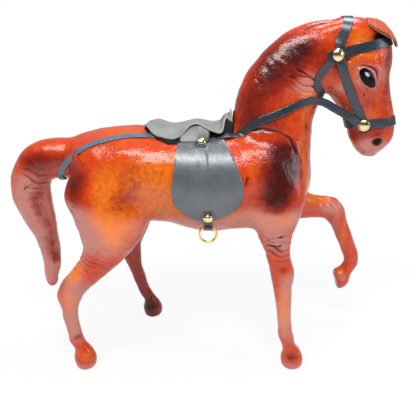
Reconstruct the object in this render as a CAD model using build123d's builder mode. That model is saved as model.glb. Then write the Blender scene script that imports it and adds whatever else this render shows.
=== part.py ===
"""Leather-covered model horse with saddle, bridle and crupper, one foreleg raised.

Wooden cores are pegged together with dowels and each is covered with a moulded hide.
Units are millimetres. +X points to the head, +Y to the horse's left, +Z up, floor at Z = 0.
"""
from build123d import *
import os
from math import cos, radians, sin
from typing import NamedTuple

# Leather, clearances and pegs
HIDE = 1.2
FIT = 0.15
LAY = 0.3
STRAP = 0.9
FLAP_LEATHER = 1.2
SEAT_LEATHER = 1.4
EAR_LEATHER = 1.2
DOWEL_DIAMETER = 6.0

# Body
BARREL_HEIGHT = 164.5
BARREL_DEPTH = 91.0
BARREL_WIDTH = 87.0
CROUP_DEPTH = 83.0
CROUP_WIDTH = 82.0
SHOULDER_DEPTH = 92.0
SHOULDER_WIDTH = 78.0
DOCK_X = -114.0
HIP_X = -82.0
SHOULDER_X = 56.0
CHEST_X = 88.5

# Neck, head and tail
NECK_WIDTH = 41.0
POLL_X = 113.0
POLL_HEIGHT = 298.0
HEAD_WIDTH = 37.0
MUZZLE_WIDTH = 25.5
TAIL_WIDTH = 28.0
EYE_DIAMETER = 16.0
EYE_PROUD = 2.4
EYELID_LENGTH = 15.0
EYELID_OPENING = 10.5
EYELID_RIM = 2.4
EYELID_THICKNESS = 1.4
EYE_FORWARD = 12.5
EYE_DROP = 44.0
EYE_TILT = 38.0
NOSTRIL_DIAMETER = 7.0
EAR_WIDTH = 12.5
EAR_SPREAD = 9.0

# Legs
STANCE = 43.0
HOOF_WIDTH = 18.0
SOLE_WIDTH = 13.5
HOOF_SEAM = 17.5

# Tack
BRIDLE_WIDTH = 7.4
REIN_WIDTH = 6.2
CRUPPER_WIDTH = 4.8
SADDLE_BAND_WIDTH = 9.0
SADDLE_X = -1.0
FLAP_WIDTH = 59.2
FLAP_RISE = 43.0
FLAP_DROP = 25.5
SADDLE_RIVET_RISE = 38.0
SEAT_LENGTH = 70.0
SEAT_WIDTH = 49.0
RIVET_DIAMETER = 9.6
SADDLE_RIVET_DIAMETER = 8.2
RIVET_DOME = 2.6
RIVET_CROWN = 1.9
PAD_RADIUS = 6.0
SHANK_DIAMETER = 2.4
TAB_WIDTH = 7.2
TAB_DROP = 10.2
TAB_RIVET_DROP = 20.0
RING_INSIDE = 12.4
RING_WIRE = 1.9

# Probes start well outside the horse, and limbs are lofted a few rings at a time
REACH = 120.0
LOFT_SPAN = 4
RIGHT = -1
LEFT = 1


class Ring(NamedTuple):
    """Elliptical section of a limb; pitch is its direction of travel above +X in degrees."""

    x: float
    y: float
    z: float
    pitch: float
    depth: float
    width: float


def torso_ring(x, rise, depth, width):
    """Section of the trunk whose top stands rise above the middle of the back."""
    top = BARREL_HEIGHT + BARREL_DEPTH / 2 + rise
    return Ring(x, 0, top - depth / 2, 0, depth, width)


def head_ring(forward, drop, depth, width):
    """Level section of the head, its centre ahead of the poll and below it."""
    return Ring(POLL_X + forward, 0, POLL_HEIGHT - drop, -90, depth, width)


def leg_rings(side, rows):
    """Sections of one leg; each row gives x, inset from the stance, z, pitch, depth, width."""
    rings = []
    for x, inset, z, pitch, depth, width in rows:
        rings.append(Ring(x, side * (STANCE - inset), z, pitch, depth, width))
    return rings


TORSO = [
    torso_ring(DOCK_X, -6, 36, 34),
    torso_ring(DOCK_X + 8, -3, 58, 58),
    torso_ring(DOCK_X + 24, 0.5, 78, 74),
    torso_ring(HIP_X + 16, 3, CROUP_DEPTH, CROUP_WIDTH),
    torso_ring(-36, 1.5, 84, 86),
    torso_ring(-5, 0, BARREL_DEPTH, BARREL_WIDTH),
    torso_ring(25, 0, 89, 84),
    torso_ring(SHOULDER_X - 6, 3.5, SHOULDER_DEPTH, SHOULDER_WIDTH),
    torso_ring(CHEST_X - 18.5, 0.5, 82, 66),
    torso_ring(CHEST_X - 6.5, -11.5, 58, 50),
    torso_ring(CHEST_X, -25.5, 30, 28),
]
NECK = [
    Ring(SHOULDER_X - 4, 0, BARREL_HEIGHT + 9, 75, 66, 48),
    Ring(SHOULDER_X, 0, BARREL_HEIGHT + 47, 59, 78, NECK_WIDTH + 7),
    Ring(SHOULDER_X + 4, 0, BARREL_HEIGHT + 70, 55, 70.5, NECK_WIDTH),
    Ring(POLL_X - 44.8, 0, POLL_HEIGHT - 47.5, 49, 64, NECK_WIDTH - 4),
    Ring(POLL_X - 33, 0, POLL_HEIGHT - 33.5, 36, 57.5, HEAD_WIDTH - 3),
    Ring(POLL_X - 17, 0, POLL_HEIGHT - 26.5, 20, 52.5, HEAD_WIDTH - 6),
    Ring(POLL_X - 3, 0, POLL_HEIGHT - 24, 8, 46, HEAD_WIDTH - 12),
]
HEAD = [
    head_ring(0, 0, 22, 14),
    head_ring(1, 6.5, 48, 27),
    head_ring(5, 18.5, 58, 34),
    head_ring(6.5, 32.5, 60, HEAD_WIDTH),
    head_ring(7.5, 47.5, 58, HEAD_WIDTH - 1),
    head_ring(14, 60.5, 51, 31),
    head_ring(21.5, 73.5, 43, 27),
    head_ring(25.5, 86.5, 41, MUZZLE_WIDTH),
    head_ring(26.5, 97, 36.5, MUZZLE_WIDTH - 1.5),
    head_ring(26.5, 106, 22, 17),
    head_ring(27.5, 112, 9, 8),
]
TAIL = [
    Ring(DOCK_X + 14, 0, BARREL_HEIGHT + 21, 172, 35, TAIL_WIDTH),
    Ring(DOCK_X - 8, 0, BARREL_HEIGHT + 20, 172, 37, TAIL_WIDTH + 2),
    Ring(DOCK_X - 25.5, 0, BARREL_HEIGHT + 19, 183, 36, TAIL_WIDTH + 1),
    Ring(DOCK_X - 37, 0, BARREL_HEIGHT + 13, 218, 33.5, TAIL_WIDTH),
    Ring(DOCK_X - 43, 0, BARREL_HEIGHT - 1, 247, 35.5, TAIL_WIDTH - 1),
    Ring(DOCK_X - 44, 0, BARREL_HEIGHT - 17, 264, 35.5, TAIL_WIDTH - 2),
    Ring(DOCK_X - 39.8, 0, BARREL_HEIGHT - 35, 275, 29.5, 23),
    Ring(DOCK_X - 36.4, 0, BARREL_HEIGHT - 48, 280, 23.7, 19),
    Ring(DOCK_X - 33.7, 0, BARREL_HEIGHT - 64.5, 278, 19, 16),
    Ring(DOCK_X - 33.2, 0, BARREL_HEIGHT - 78.5, 270, 16.5, 14),
    Ring(DOCK_X - 35.3, 0, BARREL_HEIGHT - 92.5, 265, 13.5, 12),
    Ring(DOCK_X - 35.8, 0, BARREL_HEIGHT - 102, 268, 10, 9.5),
    Ring(DOCK_X - 35.8, 0, BARREL_HEIGHT - 105.5, 270, 5, 5),
]
RIGHT_FORE = leg_rings(RIGHT, [
    (SHOULDER_X - 4, 25, BARREL_HEIGHT + 25, -90, 38, 22),
    (SHOULDER_X, 18, BARREL_HEIGHT - 3, -90, 54, 33),
    (SHOULDER_X + 0.5, 14, BARREL_HEIGHT - 25, -90, 42, 30),
    (SHOULDER_X + 1.5, 10, 121.5, -90, 27.5, 24),
    (SHOULDER_X + 4.5, 7, 106.5, -90, 22, 20),
    (SHOULDER_X + 8, 5, 93.5, -90, 22, 19),
    (SHOULDER_X + 9.2, 3.5, 76, -90, 16.5, 15),
    (SHOULDER_X + 11, 2, 57, -90, 13.5, 12.5),
    (SHOULDER_X + 12.3, 1, 42.5, -90, 12.5, 12),
    (SHOULDER_X + 13.5, 0.5, 32, -90, 13.8, 13),
    (SHOULDER_X + 16.5, 0, 24, -90, 12.5, 12),
    (SHOULDER_X + 19.5, 0, HOOF_SEAM, -90, 16, 15),
])
LEFT_FORE = leg_rings(LEFT, [
    (SHOULDER_X - 4, 25, BARREL_HEIGHT + 25, -85, 38, 22),
    (SHOULDER_X + 2, 18, BARREL_HEIGHT - 5, -65, 54, 33),
    (SHOULDER_X + 24, 16, BARREL_HEIGHT - 27, -20, 38, 28),
    (SHOULDER_X + 45, 14, BARREL_HEIGHT - 34.5, -2, 24, 22),
    (SHOULDER_X + 60, 13, BARREL_HEIGHT - 36, -14, 22.5, 20),
    (SHOULDER_X + 66.8, 13, BARREL_HEIGHT - 40.5, -44, 22, 19),
    (SHOULDER_X + 73.5, 13, BARREL_HEIGHT - 53.3, -70, 17, 15.5),
    (SHOULDER_X + 78.7, 13, BARREL_HEIGHT - 64, -70, 16, 14),
    (SHOULDER_X + 84, 13, BARREL_HEIGHT - 76, -70, 15, 13),
    (SHOULDER_X + 88.7, 13, BARREL_HEIGHT - 88, -75, 14.5, 13),
    (SHOULDER_X + 89.3, 13, BARREL_HEIGHT - 96.5, -105, 14, 12.5),
    (SHOULDER_X + 85.5, 13, BARREL_HEIGHT - 103.5, -122, 14, 13),
])
RIGHT_HIND = leg_rings(RIGHT, [
    (HIP_X - 3, 22, BARREL_HEIGHT + 18, -90, 56, 25),
    (HIP_X - 3, 16, BARREL_HEIGHT - 6, -92, 72, 36),
    (HIP_X - 1, 9, BARREL_HEIGHT - 30, -101, 61, 32),
    (HIP_X - 7, 5, 111, -111, 36, 27),
    (HIP_X - 18.5, 3, 96.5, -118, 26, 22),
    (HIP_X - 32.5, 2, 81.8, -114, 23, 19),
    (HIP_X - 39, 1.5, 70.5, -106, 21.4, 17.5),
    (HIP_X - 39.2, 1, 61.3, -96, 15.7, 15),
    (HIP_X - 38.7, 0.5, 48, -90, 12.8, 12),
    (HIP_X - 37.3, 0, 38.5, -86, 11.7, 11.5),
    (HIP_X - 36.2, 0, 29.5, -82, 12.5, 12.3),
    (HIP_X - 33, 0, 22.5, -78, 12, 11.5),
    (HIP_X - 30.5, 0, HOOF_SEAM, -90, 16, 15),
])
LEFT_HIND = leg_rings(LEFT, [
    (HIP_X, 22, BARREL_HEIGHT + 18, -90, 52, 25),
    (HIP_X + 2, 16, BARREL_HEIGHT - 6, -90, 68, 36),
    (HIP_X + 6, 9, BARREL_HEIGHT - 31, -98, 54, 31),
    (HIP_X + 6, 5, 109.5, -106, 34, 26),
    (HIP_X + 3, 3, 91.5, -112, 24, 21),
    (HIP_X + 2.5, 2, 73.5, -98, 21, 17.5),
    (HIP_X + 5.5, 1, 60, -84, 15, 14),
    (HIP_X + 9.5, 0, 45, -78, 12.8, 12),
    (HIP_X + 13, 0, 33, -76, 12, 11.7),
    (HIP_X + 15.5, 0, 27, -78, 12.6, 12.3),
    (HIP_X + 18.5, 0, 21.5, -76, 12, 11.7),
    (HIP_X + 21, 0, HOOF_SEAM, -90, 16, 15),
])
LEGS = {
    "right_fore_leg": RIGHT_FORE,
    "left_fore_leg": LEFT_FORE,
    "right_hind_leg": RIGHT_HIND,
    "left_hind_leg": LEFT_HIND,
}


def midway(rings, place):
    """Ring half-way to the next one, on a smooth curve through its neighbours."""
    before = rings[max(place - 1, 0)]
    after = rings[min(place + 2, len(rings) - 1)]
    rows = zip(before, rings[place], rings[place + 1], after)
    return Ring(*[(9 * (this + following) - first - last) / 16 for first, this, following, last in rows])


def limb(rings, grow=0.0, closed_end=True):
    """Loft a limb through its rings in short spans, with its skin moved outwards by grow."""
    fine = [rings[0]]
    for place, ring in enumerate(rings[1:]):
        fine += [midway(rings, place), ring]
    stops = [*range(0, len(fine) - LOFT_SPAN, LOFT_SPAN), len(fine) - 1]
    with BuildPart() as body:
        for first, last in zip(stops, stops[1:]):
            for place in range(first, last + 1):
                ring = fine[place]
                angle = radians(ring.pitch)
                travel = Vector(cos(angle), 0, sin(angle))
                slide = 0.0
                if place == 0:
                    slide = -grow
                elif closed_end and place == len(fine) - 1:
                    slide = grow
                centre = Vector(ring.x, ring.y, ring.z) + travel * slide
                upright = Vector(-sin(angle), 0, cos(angle))
                with BuildSketch(Plane(origin=centre, x_dir=upright, z_dir=travel)):
                    Ellipse(ring.depth / 2 + grow, ring.width / 2 + grow)
            loft()
    return body.part


def carved(solid, *cuts):
    """One solid with others cut out of it."""
    with BuildPart() as piece:
        add(solid)
        for cut in cuts:
            add(cut, mode=Mode.SUBTRACT)
    return piece.part


def peg(start, end, diameter):
    """Round bar between two points."""
    axis = Vector(*end) - Vector(*start)
    with BuildPart() as bar:
        with BuildSketch(Plane(origin=start, z_dir=axis)):
            Circle(diameter / 2)
        extrude(amount=axis.length)
    return bar.part


def first_touch(solids, start, direction):
    """Point and outward normal where a probe from outside first meets one of the solids."""
    probe = Axis(start, direction)
    hits = []
    for solid in solids:
        for face in solid.faces():
            found = face.find_intersection_points(probe)
            hits += [hit for hit in found if (hit[0] - start).dot(direction) > 0]
    if not hits:
        return None
    point, normal = min(hits, key=lambda hit: (hit[0] - start).length)
    return point, normal if normal.dot(direction) < 0 else -normal


class Stop(NamedTuple):
    """Place on a strap's route, found by a probe or free; lift is its height over the skin."""

    point: Vector
    outward: Vector
    lift: float = 0.0
    reach: float = REACH
    free: bool = False


def lay_strap(skins, stops, width):
    """Flat strap that follows its stops over the skins, raised where other leather lies under it."""
    touches = []
    for stop in stops:
        found = None
        if not stop.free:
            found = first_touch(skins, stop.point + stop.outward * stop.reach, -stop.outward)
        touches.append(found[0] if found else stop.point)
    with BuildPart() as strap:
        for place, (stop, touch) in enumerate(zip(stops, touches)):
            ahead = touches[min(place + 1, len(touches) - 1)]
            behind = touches[max(place - 1, 0)]
            travel = (ahead - behind).normalized()
            across = travel.cross(stop.outward).normalized()
            edges = [touch - across * (width / 2), touch + across * (width / 2)]
            if not stop.free:
                edges = [settle(skins, edge, stop.outward, width) for edge in edges]
            slope = (edges[1] - edges[0]).normalized()
            normal = slope.cross(travel).normalized()
            if normal.dot(stop.outward) < 0:
                normal = -normal
            rise = max(0.0, (edges[0] - touch).dot(normal))
            centre = touch + normal * (LAY + rise + stop.lift + STRAP / 2)
            with BuildSketch(Plane(origin=centre, x_dir=travel.cross(normal), z_dir=travel)):
                Rectangle(width, STRAP)
        loft(ruled=True)
    return strap.part


def along(corners, step):
    """Points along straight runs between corners, about a step apart."""
    points = [corners[0]]
    for (x1, z1), (x2, z2) in zip(corners, corners[1:]):
        count = max(1, round(((x2 - x1) ** 2 + (z2 - z1) ** 2) ** 0.5 / step))
        points += [(x1 + (x2 - x1) * k / count, z1 + (z2 - z1) * k / count) for k in range(1, count + 1)]
    return points


def settle(skins, point, outward, limit):
    """Nearby point on the skin along the outward line, or the point itself."""
    found = first_touch(skins, point + outward * limit, -outward)
    if found and abs((found[0] - point).dot(outward)) < limit / 2:
        return found[0]
    return point


def side_stop(side, x, z, lift=0.0):
    """Stop found by probing straight in from one side of the horse."""
    return Stop(Vector(x, 0, z), Vector(0, side, 0), lift)


def hoop_stop(side, centre, ahead, angle, lift=0.0, reach=REACH):
    """Stop found by probing towards a centre, angle degrees round from ahead to the side."""
    turn = radians(angle)
    outward = Vector(*ahead).normalized() * cos(turn) + Vector(0, side, 0) * sin(turn)
    return Stop(Vector(*centre), outward, lift, reach)


def rivet_pad(solids, side, x, z):
    """Flat place for a rivet: a plane that clears the skin all round it, normal outwards."""
    point, normal = first_touch(solids, Vector(x, side * REACH, z), Vector(0, -side, 0))
    pad = Plane(origin=point, z_dir=normal)
    turns = [radians(angle) for angle in range(0, 360, 45)]
    around = [pad.x_dir * cos(turn) + pad.y_dir * sin(turn) for turn in turns]
    spots = [settle(solids, point + way * PAD_RADIUS, normal, RIVET_DIAMETER) for way in around]
    return pad.offset(max(0.0, *[(spot - point).dot(normal) for spot in spots]))


def pad_stops(pad, towards, lift, distances):
    """Level stops across a rivet pad on the way to a point."""
    way = Vector(*towards) - pad.origin
    way = (way - pad.z_dir * way.dot(pad.z_dir)).normalized()
    return [Stop(pad.origin + way * distance, pad.z_dir, lift, REACH, True) for distance in distances]


def rivet(pad, height, grip, across=RIVET_DIAMETER):
    """Domed cap at a height over its pad, with a shank that runs down through the grip."""
    seat = pad.offset(height)
    rim = RIVET_DOME - RIVET_CROWN
    with BuildPart() as stud:
        with BuildSketch(seat):
            Circle(SHANK_DIAMETER / 2)
        extrude(amount=-grip)
        with BuildSketch(Plane(origin=seat.origin, x_dir=seat.x_dir, z_dir=-seat.y_dir)):
            with BuildLine():
                Polyline((0, RIVET_DOME), (0, 0), (across / 2, 0), (across / 2, rim))
                ThreePointArc((across / 2, rim), dome_point(rim, across), (0, RIVET_DOME))
            make_face()
        revolve(axis=Axis(seat.origin, seat.z_dir))
    return stud.part


def dome_point(rim, across):
    """Point half-way out on a rivet's crown, on the arc from its rim to its middle."""
    half = across / 2
    radius = (half**2 + RIVET_CROWN**2) / (2 * RIVET_CROWN)
    return (half / 2, rim + RIVET_CROWN - radius + (radius**2 - half**2 / 4) ** 0.5)


def shank_hole(pad):
    """Clearance hole for a rivet's shank, through all leather on its pad."""
    with BuildPart() as hole:
        with BuildSketch(pad.offset(-HIDE)):
            Circle(SHANK_DIAMETER / 2 + FIT)
        extrude(amount=REACH / 10)
    return hole.part


def ball(centre, diameter):
    """Ball at a point."""
    with BuildPart() as globe:
        with Locations(centre):
            Sphere(diameter / 2)
    return globe.part


def mirrored(part):
    """The same piece on the horse's other side."""
    with BuildPart() as twin:
        mirror(part, about=Plane.XZ)
    return twin.part


def shared(solid, *others):
    """What several solids have in common."""
    with BuildPart() as piece:
        add(solid)
        for other in others:
            add(other, mode=Mode.INTERSECT)
    return piece.part


def group(solids):
    """Like pieces kept together as separate solids."""
    with BuildPart() as several:
        add(solids)
    return several.part


def side_plane(side, x, z, tilt=0.0):
    """Plane facing out of one side of the horse, its X axis tilted down towards the nose."""
    forward = Vector(cos(radians(tilt)), 0, -sin(radians(tilt)))
    return Plane(origin=(x, 0, z), x_dir=forward, z_dir=(0, side, 0))


pieces = {}

# Limb bodies: outer skin, inner face of the hide, and a seat just clear of the skin
torso_outer = limb(TORSO)
torso_inner = limb(TORSO, -HIDE)
torso_seat = limb(TORSO, FIT)
neck_outer = limb(NECK)
neck_inner = limb(NECK, -HIDE)
head_outer = limb(HEAD)
head_inner = limb(HEAD, -HIDE)
head_seat = limb(HEAD, FIT)
neck_seat = limb(NECK, FIT)
tail_seat = limb(TAIL, FIT)
tail_outer = limb(TAIL)
tail_inner = limb(TAIL, -HIDE)
leg_inner = {name: limb(rings, -HIDE, closed_end=False) for name, rings in LEGS.items()}

# Dowels that peg the cores together
LEG_PEGS = [
    ((SHOULDER_X, -STANCE + 20, BARREL_HEIGHT + 12), (SHOULDER_X + 4, -STANCE + 8, 110.5)),
    ((SHOULDER_X + 2, STANCE - 20, BARREL_HEIGHT), (SHOULDER_X + 46, STANCE - 14, BARREL_HEIGHT - 34)),
    ((HIP_X, -STANCE + 20, BARREL_HEIGHT + 8), (HIP_X - 7, -STANCE + 5.5, 111.5)),
    ((HIP_X + 6, STANCE - 20, BARREL_HEIGHT + 8), (HIP_X + 5.5, STANCE - 5.5, 110.5)),
]
NECK_PEG = ((SHOULDER_X - 4, 0, BARREL_HEIGHT + 8), (SHOULDER_X + 6, 0, BARREL_HEIGHT + 74))
HEAD_PEG = ((POLL_X - 32, 0, POLL_HEIGHT - 36), (POLL_X + 12, 0, POLL_HEIGHT - 34))
TAIL_PEG = ((DOCK_X + 22, 0, BARREL_HEIGHT + 15), (DOCK_X - 24, 0, BARREL_HEIGHT + 19))
pieces["leg_dowels"] = group([peg(start, end, DOWEL_DIAMETER) for start, end in LEG_PEGS])
pieces["neck_dowel"] = peg(*NECK_PEG, DOWEL_DIAMETER)
pieces["head_dowel"] = peg(*HEAD_PEG, DOWEL_DIAMETER)
pieces["tail_dowel"] = peg(*TAIL_PEG, DOWEL_DIAMETER)
all_pegs = LEG_PEGS + [NECK_PEG, HEAD_PEG, TAIL_PEG]
peg_holes = [peg(start, end, DOWEL_DIAMETER + 2 * FIT) for start, end in all_pegs]

# Eyes: glass balls sunk into sockets through the hide
eye_skin, eye_normal = first_touch(
    [head_outer],
    Vector(POLL_X + EYE_FORWARD, RIGHT * REACH, POLL_HEIGHT - EYE_DROP),
    Vector(0, -RIGHT, 0),
)
eye_centre = eye_skin - eye_normal * (EYE_DIAMETER / 2 - EYE_PROUD)
pieces["right_eye"] = ball(eye_centre, EYE_DIAMETER)
pieces["left_eye"] = mirrored(pieces["right_eye"])
right_socket = ball(eye_centre, EYE_DIAMETER + 2 * FIT)
sockets = [right_socket, mirrored(right_socket)]

# Nostrils: shallow dimples in the hide
nostril_skin, nostril_normal = first_touch(
    [head_outer],
    Vector(POLL_X + 29.5, RIGHT * REACH, POLL_HEIGHT - 97.5),
    Vector(0, -RIGHT, 0),
)
nostril_centre = nostril_skin + nostril_normal * (NOSTRIL_DIAMETER / 2 - HIDE * 0.7)
right_nostril = ball(nostril_centre, NOSTRIL_DIAMETER)
nostrils = [right_nostril, mirrored(right_nostril)]

# Cores, each cut back where the next one seats on it
pieces["torso_core"] = carved(limb(TORSO, -HIDE - FIT), *peg_holes)
pieces["neck_core"] = carved(limb(NECK, -HIDE - FIT), torso_inner, head_inner, *peg_holes)
pieces["head_core"] = carved(limb(HEAD, -HIDE - FIT), *sockets, *peg_holes)
pieces["tail_core"] = carved(limb(TAIL, -HIDE - FIT), torso_inner, *peg_holes)
for name, rings in LEGS.items():
    pieces[f"{name}_core"] = carved(limb(rings, -HIDE - FIT, closed_end=False), torso_inner, *peg_holes)

# Hides, each opened where a core passes through it
pieces["torso_hide"] = carved(torso_outer, torso_inner, neck_inner, tail_inner, *leg_inner.values())
pieces["neck_hide"] = carved(neck_outer, neck_inner, torso_seat, head_seat)
pieces["head_hide"] = carved(head_outer, head_inner, neck_inner, *sockets, *nostrils)
pieces["tail_hide"] = carved(tail_outer, tail_inner, torso_seat)
for name, rings in LEGS.items():
    pieces[f"{name}_hide"] = carved(limb(rings, closed_end=False), leg_inner[name], torso_seat)


def hoof_top(leg):
    """Upper ring of a hoof, just below the end of its leg."""
    ring = leg[-1]
    angle = radians(ring.pitch)
    return ring._replace(x=ring.x + FIT * cos(angle), z=ring.z + FIT * sin(angle))


def standing_hoof(leg):
    """Rounded hoof with a flat sole on the floor."""
    top = hoof_top(leg)
    belly = top._replace(x=top.x + 1, z=HOOF_SEAM * 0.45, depth=HOOF_WIDTH + 2, width=HOOF_WIDTH)
    edge = belly._replace(z=1.6, depth=SOLE_WIDTH + 4, width=SOLE_WIDTH + 3)
    sole = belly._replace(z=0, depth=SOLE_WIDTH + 1, width=SOLE_WIDTH)
    return limb([top, belly, edge, sole])


def raised_hoof(leg):
    """Hoof folded back under the raised foreleg."""
    top = hoof_top(leg)
    belly = top._replace(x=top.x - 4.7, z=top.z - 8.5, pitch=-146)
    belly = belly._replace(depth=HOOF_WIDTH + 3.5, width=HOOF_WIDTH)
    sole = top._replace(x=top.x - 10, z=top.z - 11.5, pitch=-164)
    sole = sole._replace(depth=HOOF_WIDTH + 2, width=SOLE_WIDTH + 3)
    return limb([top, belly, sole])


for name in ("right_fore", "right_hind", "left_hind"):
    pieces[f"{name}_hoof"] = standing_hoof(LEGS[f"{name}_leg"])
pieces["left_fore_hoof"] = raised_hoof(LEFT_FORE)


def almond_bar(length, height):
    """Bar with a pointed oval section, out through the right eye."""
    with BuildPart() as bar:
        with BuildSketch(side_plane(RIGHT, POLL_X + EYE_FORWARD, POLL_HEIGHT - EYE_DROP, EYE_TILT)):
            with BuildLine():
                ThreePointArc((-length / 2, 0), (0, height / 2), (length / 2, 0))
                ThreePointArc((-length / 2, 0), (0, -height / 2), (length / 2, 0))
            make_face()
        extrude(amount=HEAD_WIDTH)
    return bar.part


# Eyelids: raised leather rims round the eyes
eyelid_bar = almond_bar(EYELID_LENGTH + 2 * EYELID_RIM, EYELID_OPENING + 2 * EYELID_RIM)
eye_opening = almond_bar(EYELID_LENGTH, EYELID_OPENING)
eyelid_skin = carved(limb(HEAD, FIT + EYELID_THICKNESS), head_seat)
pieces["right_eyelid"] = carved(shared(eyelid_skin, eyelid_bar), eye_opening, right_socket)
pieces["left_eyelid"] = mirrored(pieces["right_eyelid"])

# Ears: leaves of leather swept forward over the brow
EAR_ROWS = [
    (10.5, 0.0, 3.6, 0.0, 0.45),
    (17.0, 4.2, 6.0, 1.8, 0.74),
    (24.5, 7.0, 7.6, 2.2, 0.69),
    (31.0, 12.6, 5.6, 1.8, 0.50),
    (35.0, 21.6, 1.0, 0.3, 0.20),
]
ear_points = []
for forward, drop, half, arch, roll in EAR_ROWS:
    row = []
    for share in (-1.0, -0.5, 0.0, 0.5, 1.0):
        reach_out = EAR_SPREAD + share * half * EAR_WIDTH / 12.5
        height = POLL_HEIGHT - drop - arch * share**2 - roll * share * half
        if drop == 0:
            start = Vector(POLL_X + forward, -reach_out, POLL_HEIGHT + REACH)
            height = first_touch([head_outer], start, Vector(0, 0, -1))[0].Z + LAY
        row.append(Vector(POLL_X + forward, -reach_out, height))
    ear_points.append(row)
with BuildPart() as right_ear:
    thicken(Face.make_surface_from_array_of_points(ear_points), EAR_LEATHER, normal_override=(0, 0, 1))
pieces["right_ear"] = right_ear.part
pieces["left_ear"] = mirrored(right_ear.part)

# Saddle flaps: leather panels moulded over the barrel; share of the half width and rise of the edge
FLAP_PROUD = LAY + FLAP_LEATHER
FLAP_EDGE = [
    (0.405, FLAP_RISE), (0.554, 37.2), (0.686, 29.7), (0.848, 19.5), (0.973, 8.5), (1.0, 1.8),
    (0.956, -5.7), (0.811, -12.7), (0.534, -20.1), (0.196, -24.3), (-0.068, -FLAP_DROP),
    (-0.324, -24.4), (-0.601, -18.6), (-0.848, -10.5), (-0.949, -3.1), (-0.963, 2.3),
    (-0.905, 14.6), (-0.855, 27.2), (-0.77, FLAP_RISE),
]
flap_face = limb(TORSO, FLAP_PROUD)
flap_skin = carved(flap_face, limb(TORSO, LAY))
with BuildPart() as flap_pattern:
    with BuildSketch(side_plane(RIGHT, SADDLE_X, 0)):
        with BuildLine():
            edge = Spline(*[(share * FLAP_WIDTH / 2, BARREL_HEIGHT + rise) for share, rise in FLAP_EDGE])
            Line(edge @ 1, edge @ 0)
        make_face()
    extrude(amount=BARREL_WIDTH)
saddle_pad = rivet_pad([torso_outer], RIGHT, SADDLE_X - 4.5, BARREL_HEIGHT + SADDLE_RIVET_RISE)
saddle_hole = shank_hole(saddle_pad)
tab_skin, tab_normal = first_touch(
    [flap_face],
    Vector(SADDLE_X + 1, RIGHT * REACH, BARREL_HEIGHT - TAB_RIVET_DROP),
    Vector(0, -RIGHT, 0),
)
tab_slope = Vector(1, 0, 0).cross(tab_normal)
tab_pad = Plane(origin=tab_skin + tab_normal * FIT, x_dir=tab_slope, z_dir=tab_normal)
tab_hole = shank_hole(tab_pad.offset(-FLAP_PROUD))
pieces["right_saddle_flap"] = carved(shared(flap_skin, flap_pattern.part), saddle_hole, tab_hole)
pieces["left_saddle_flap"] = mirrored(pieces["right_saddle_flap"])

# Saddle band: strap over the back that carries both flaps
BAND_LIFT = FLAP_LEATHER + FIT
back_top = (SADDLE_X - 4.5, 0, BARREL_HEIGHT + BARREL_DEPTH / 2)
band_half = pad_stops(saddle_pad, back_top, BAND_LIFT, (-RIVET_DIAMETER / 2 - 1, 0, PAD_RADIUS))
for angle, lift in ((20, BAND_LIFT), (15, BAND_LIFT), (10, BAND_LIFT / 2), (5, 0)):
    band_half.append(hoop_stop(RIGHT, (SADDLE_X - 4.5, 0, BARREL_HEIGHT), (0, 0, 1), angle, lift))


def crossed(stops, middle):
    """A route from the right side over the middle plane to the left side."""
    flip = [stop._replace(point=across_y(stop.point), outward=across_y(stop.outward)) for stop in stops]
    return stops + middle + flip[::-1]


def across_y(vector):
    """The same vector on the horse's other side."""
    return Vector(vector.X, -vector.Y, vector.Z)


band_middle = [hoop_stop(RIGHT, (SADDLE_X - 4.5, 0, BARREL_HEIGHT), (0, 0, 1), 0)]
band = lay_strap([torso_outer], crossed(band_half, band_middle), SADDLE_BAND_WIDTH)
pieces["saddle_band"] = carved(band, torso_seat, saddle_hole, mirrored(saddle_hole))
saddle_stack = BAND_LIFT + LAY + STRAP + FIT
right_saddle_rivet = rivet(saddle_pad, saddle_stack, saddle_stack - LAY, SADDLE_RIVET_DIAMETER)
pieces["saddle_rivets"] = group([right_saddle_rivet, mirrored(right_saddle_rivet)])

# Saddle seat: stiff leather sheet whose edges wave up and down, more so on the right
SEAT_ROWS = [
    (20 - SEAT_LENGTH, 7.5, 0.5, 1.0, 0.5),
    (24 - SEAT_LENGTH, 3.0, 0.3, -1.6, 0.0),
    (32 - SEAT_LENGTH, 0.4, 0.0, -5.9, -0.8),
    (-31, 0.0, 0.0, -7.2, -2.5),
    (-25, 0.0, 0.0, -6.6, -2.0),
    (-19, 0.0, 0.0, -2.0, -0.4),
    (-13, 0.0, 0.0, 4.6, 1.4),
    (-8.5, 0.0, 0.0, 6.3, 2.2),
    (-1.5, 0.0, 0.0, 3.4, 1.4),
    (5.5, 0.5, 0.0, 0.2, 0.6),
    (10, 1.5, 0.8, -1.2, 1.2),
    (14, 6.0, 4.5, 3.0, 4.4),
    (17.5, 12.0, 9.5, 8.6, 9.2),
    (20.5, 18.0, 15.5, 15.0, 15.2),
]
seat_points = []
for forward, narrowing, middle_rise, right_rise, left_rise in SEAT_ROWS:
    above = Vector(SADDLE_X + forward, 0, BARREL_HEIGHT + REACH)
    skin, _ = first_touch([torso_outer], above, Vector(0, 0, -1))
    base = skin.Z + LAY + STRAP + FIT
    half = SEAT_WIDTH / 2 - narrowing
    row = []
    for share in (-1.0, -0.6, 0.0, 0.6, 1.0):
        edge_rise = right_rise if share < 0 else left_rise
        height = base + middle_rise + (edge_rise - middle_rise) * share**2
        row.append(Vector(SADDLE_X + forward, share * half, height))
    seat_points.append(row)
with BuildPart() as saddle_seat:
    thicken(Face.make_surface_from_array_of_points(seat_points), SEAT_LEATHER, normal_override=(0, 0, 1))
pieces["saddle_seat"] = saddle_seat.part

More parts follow.
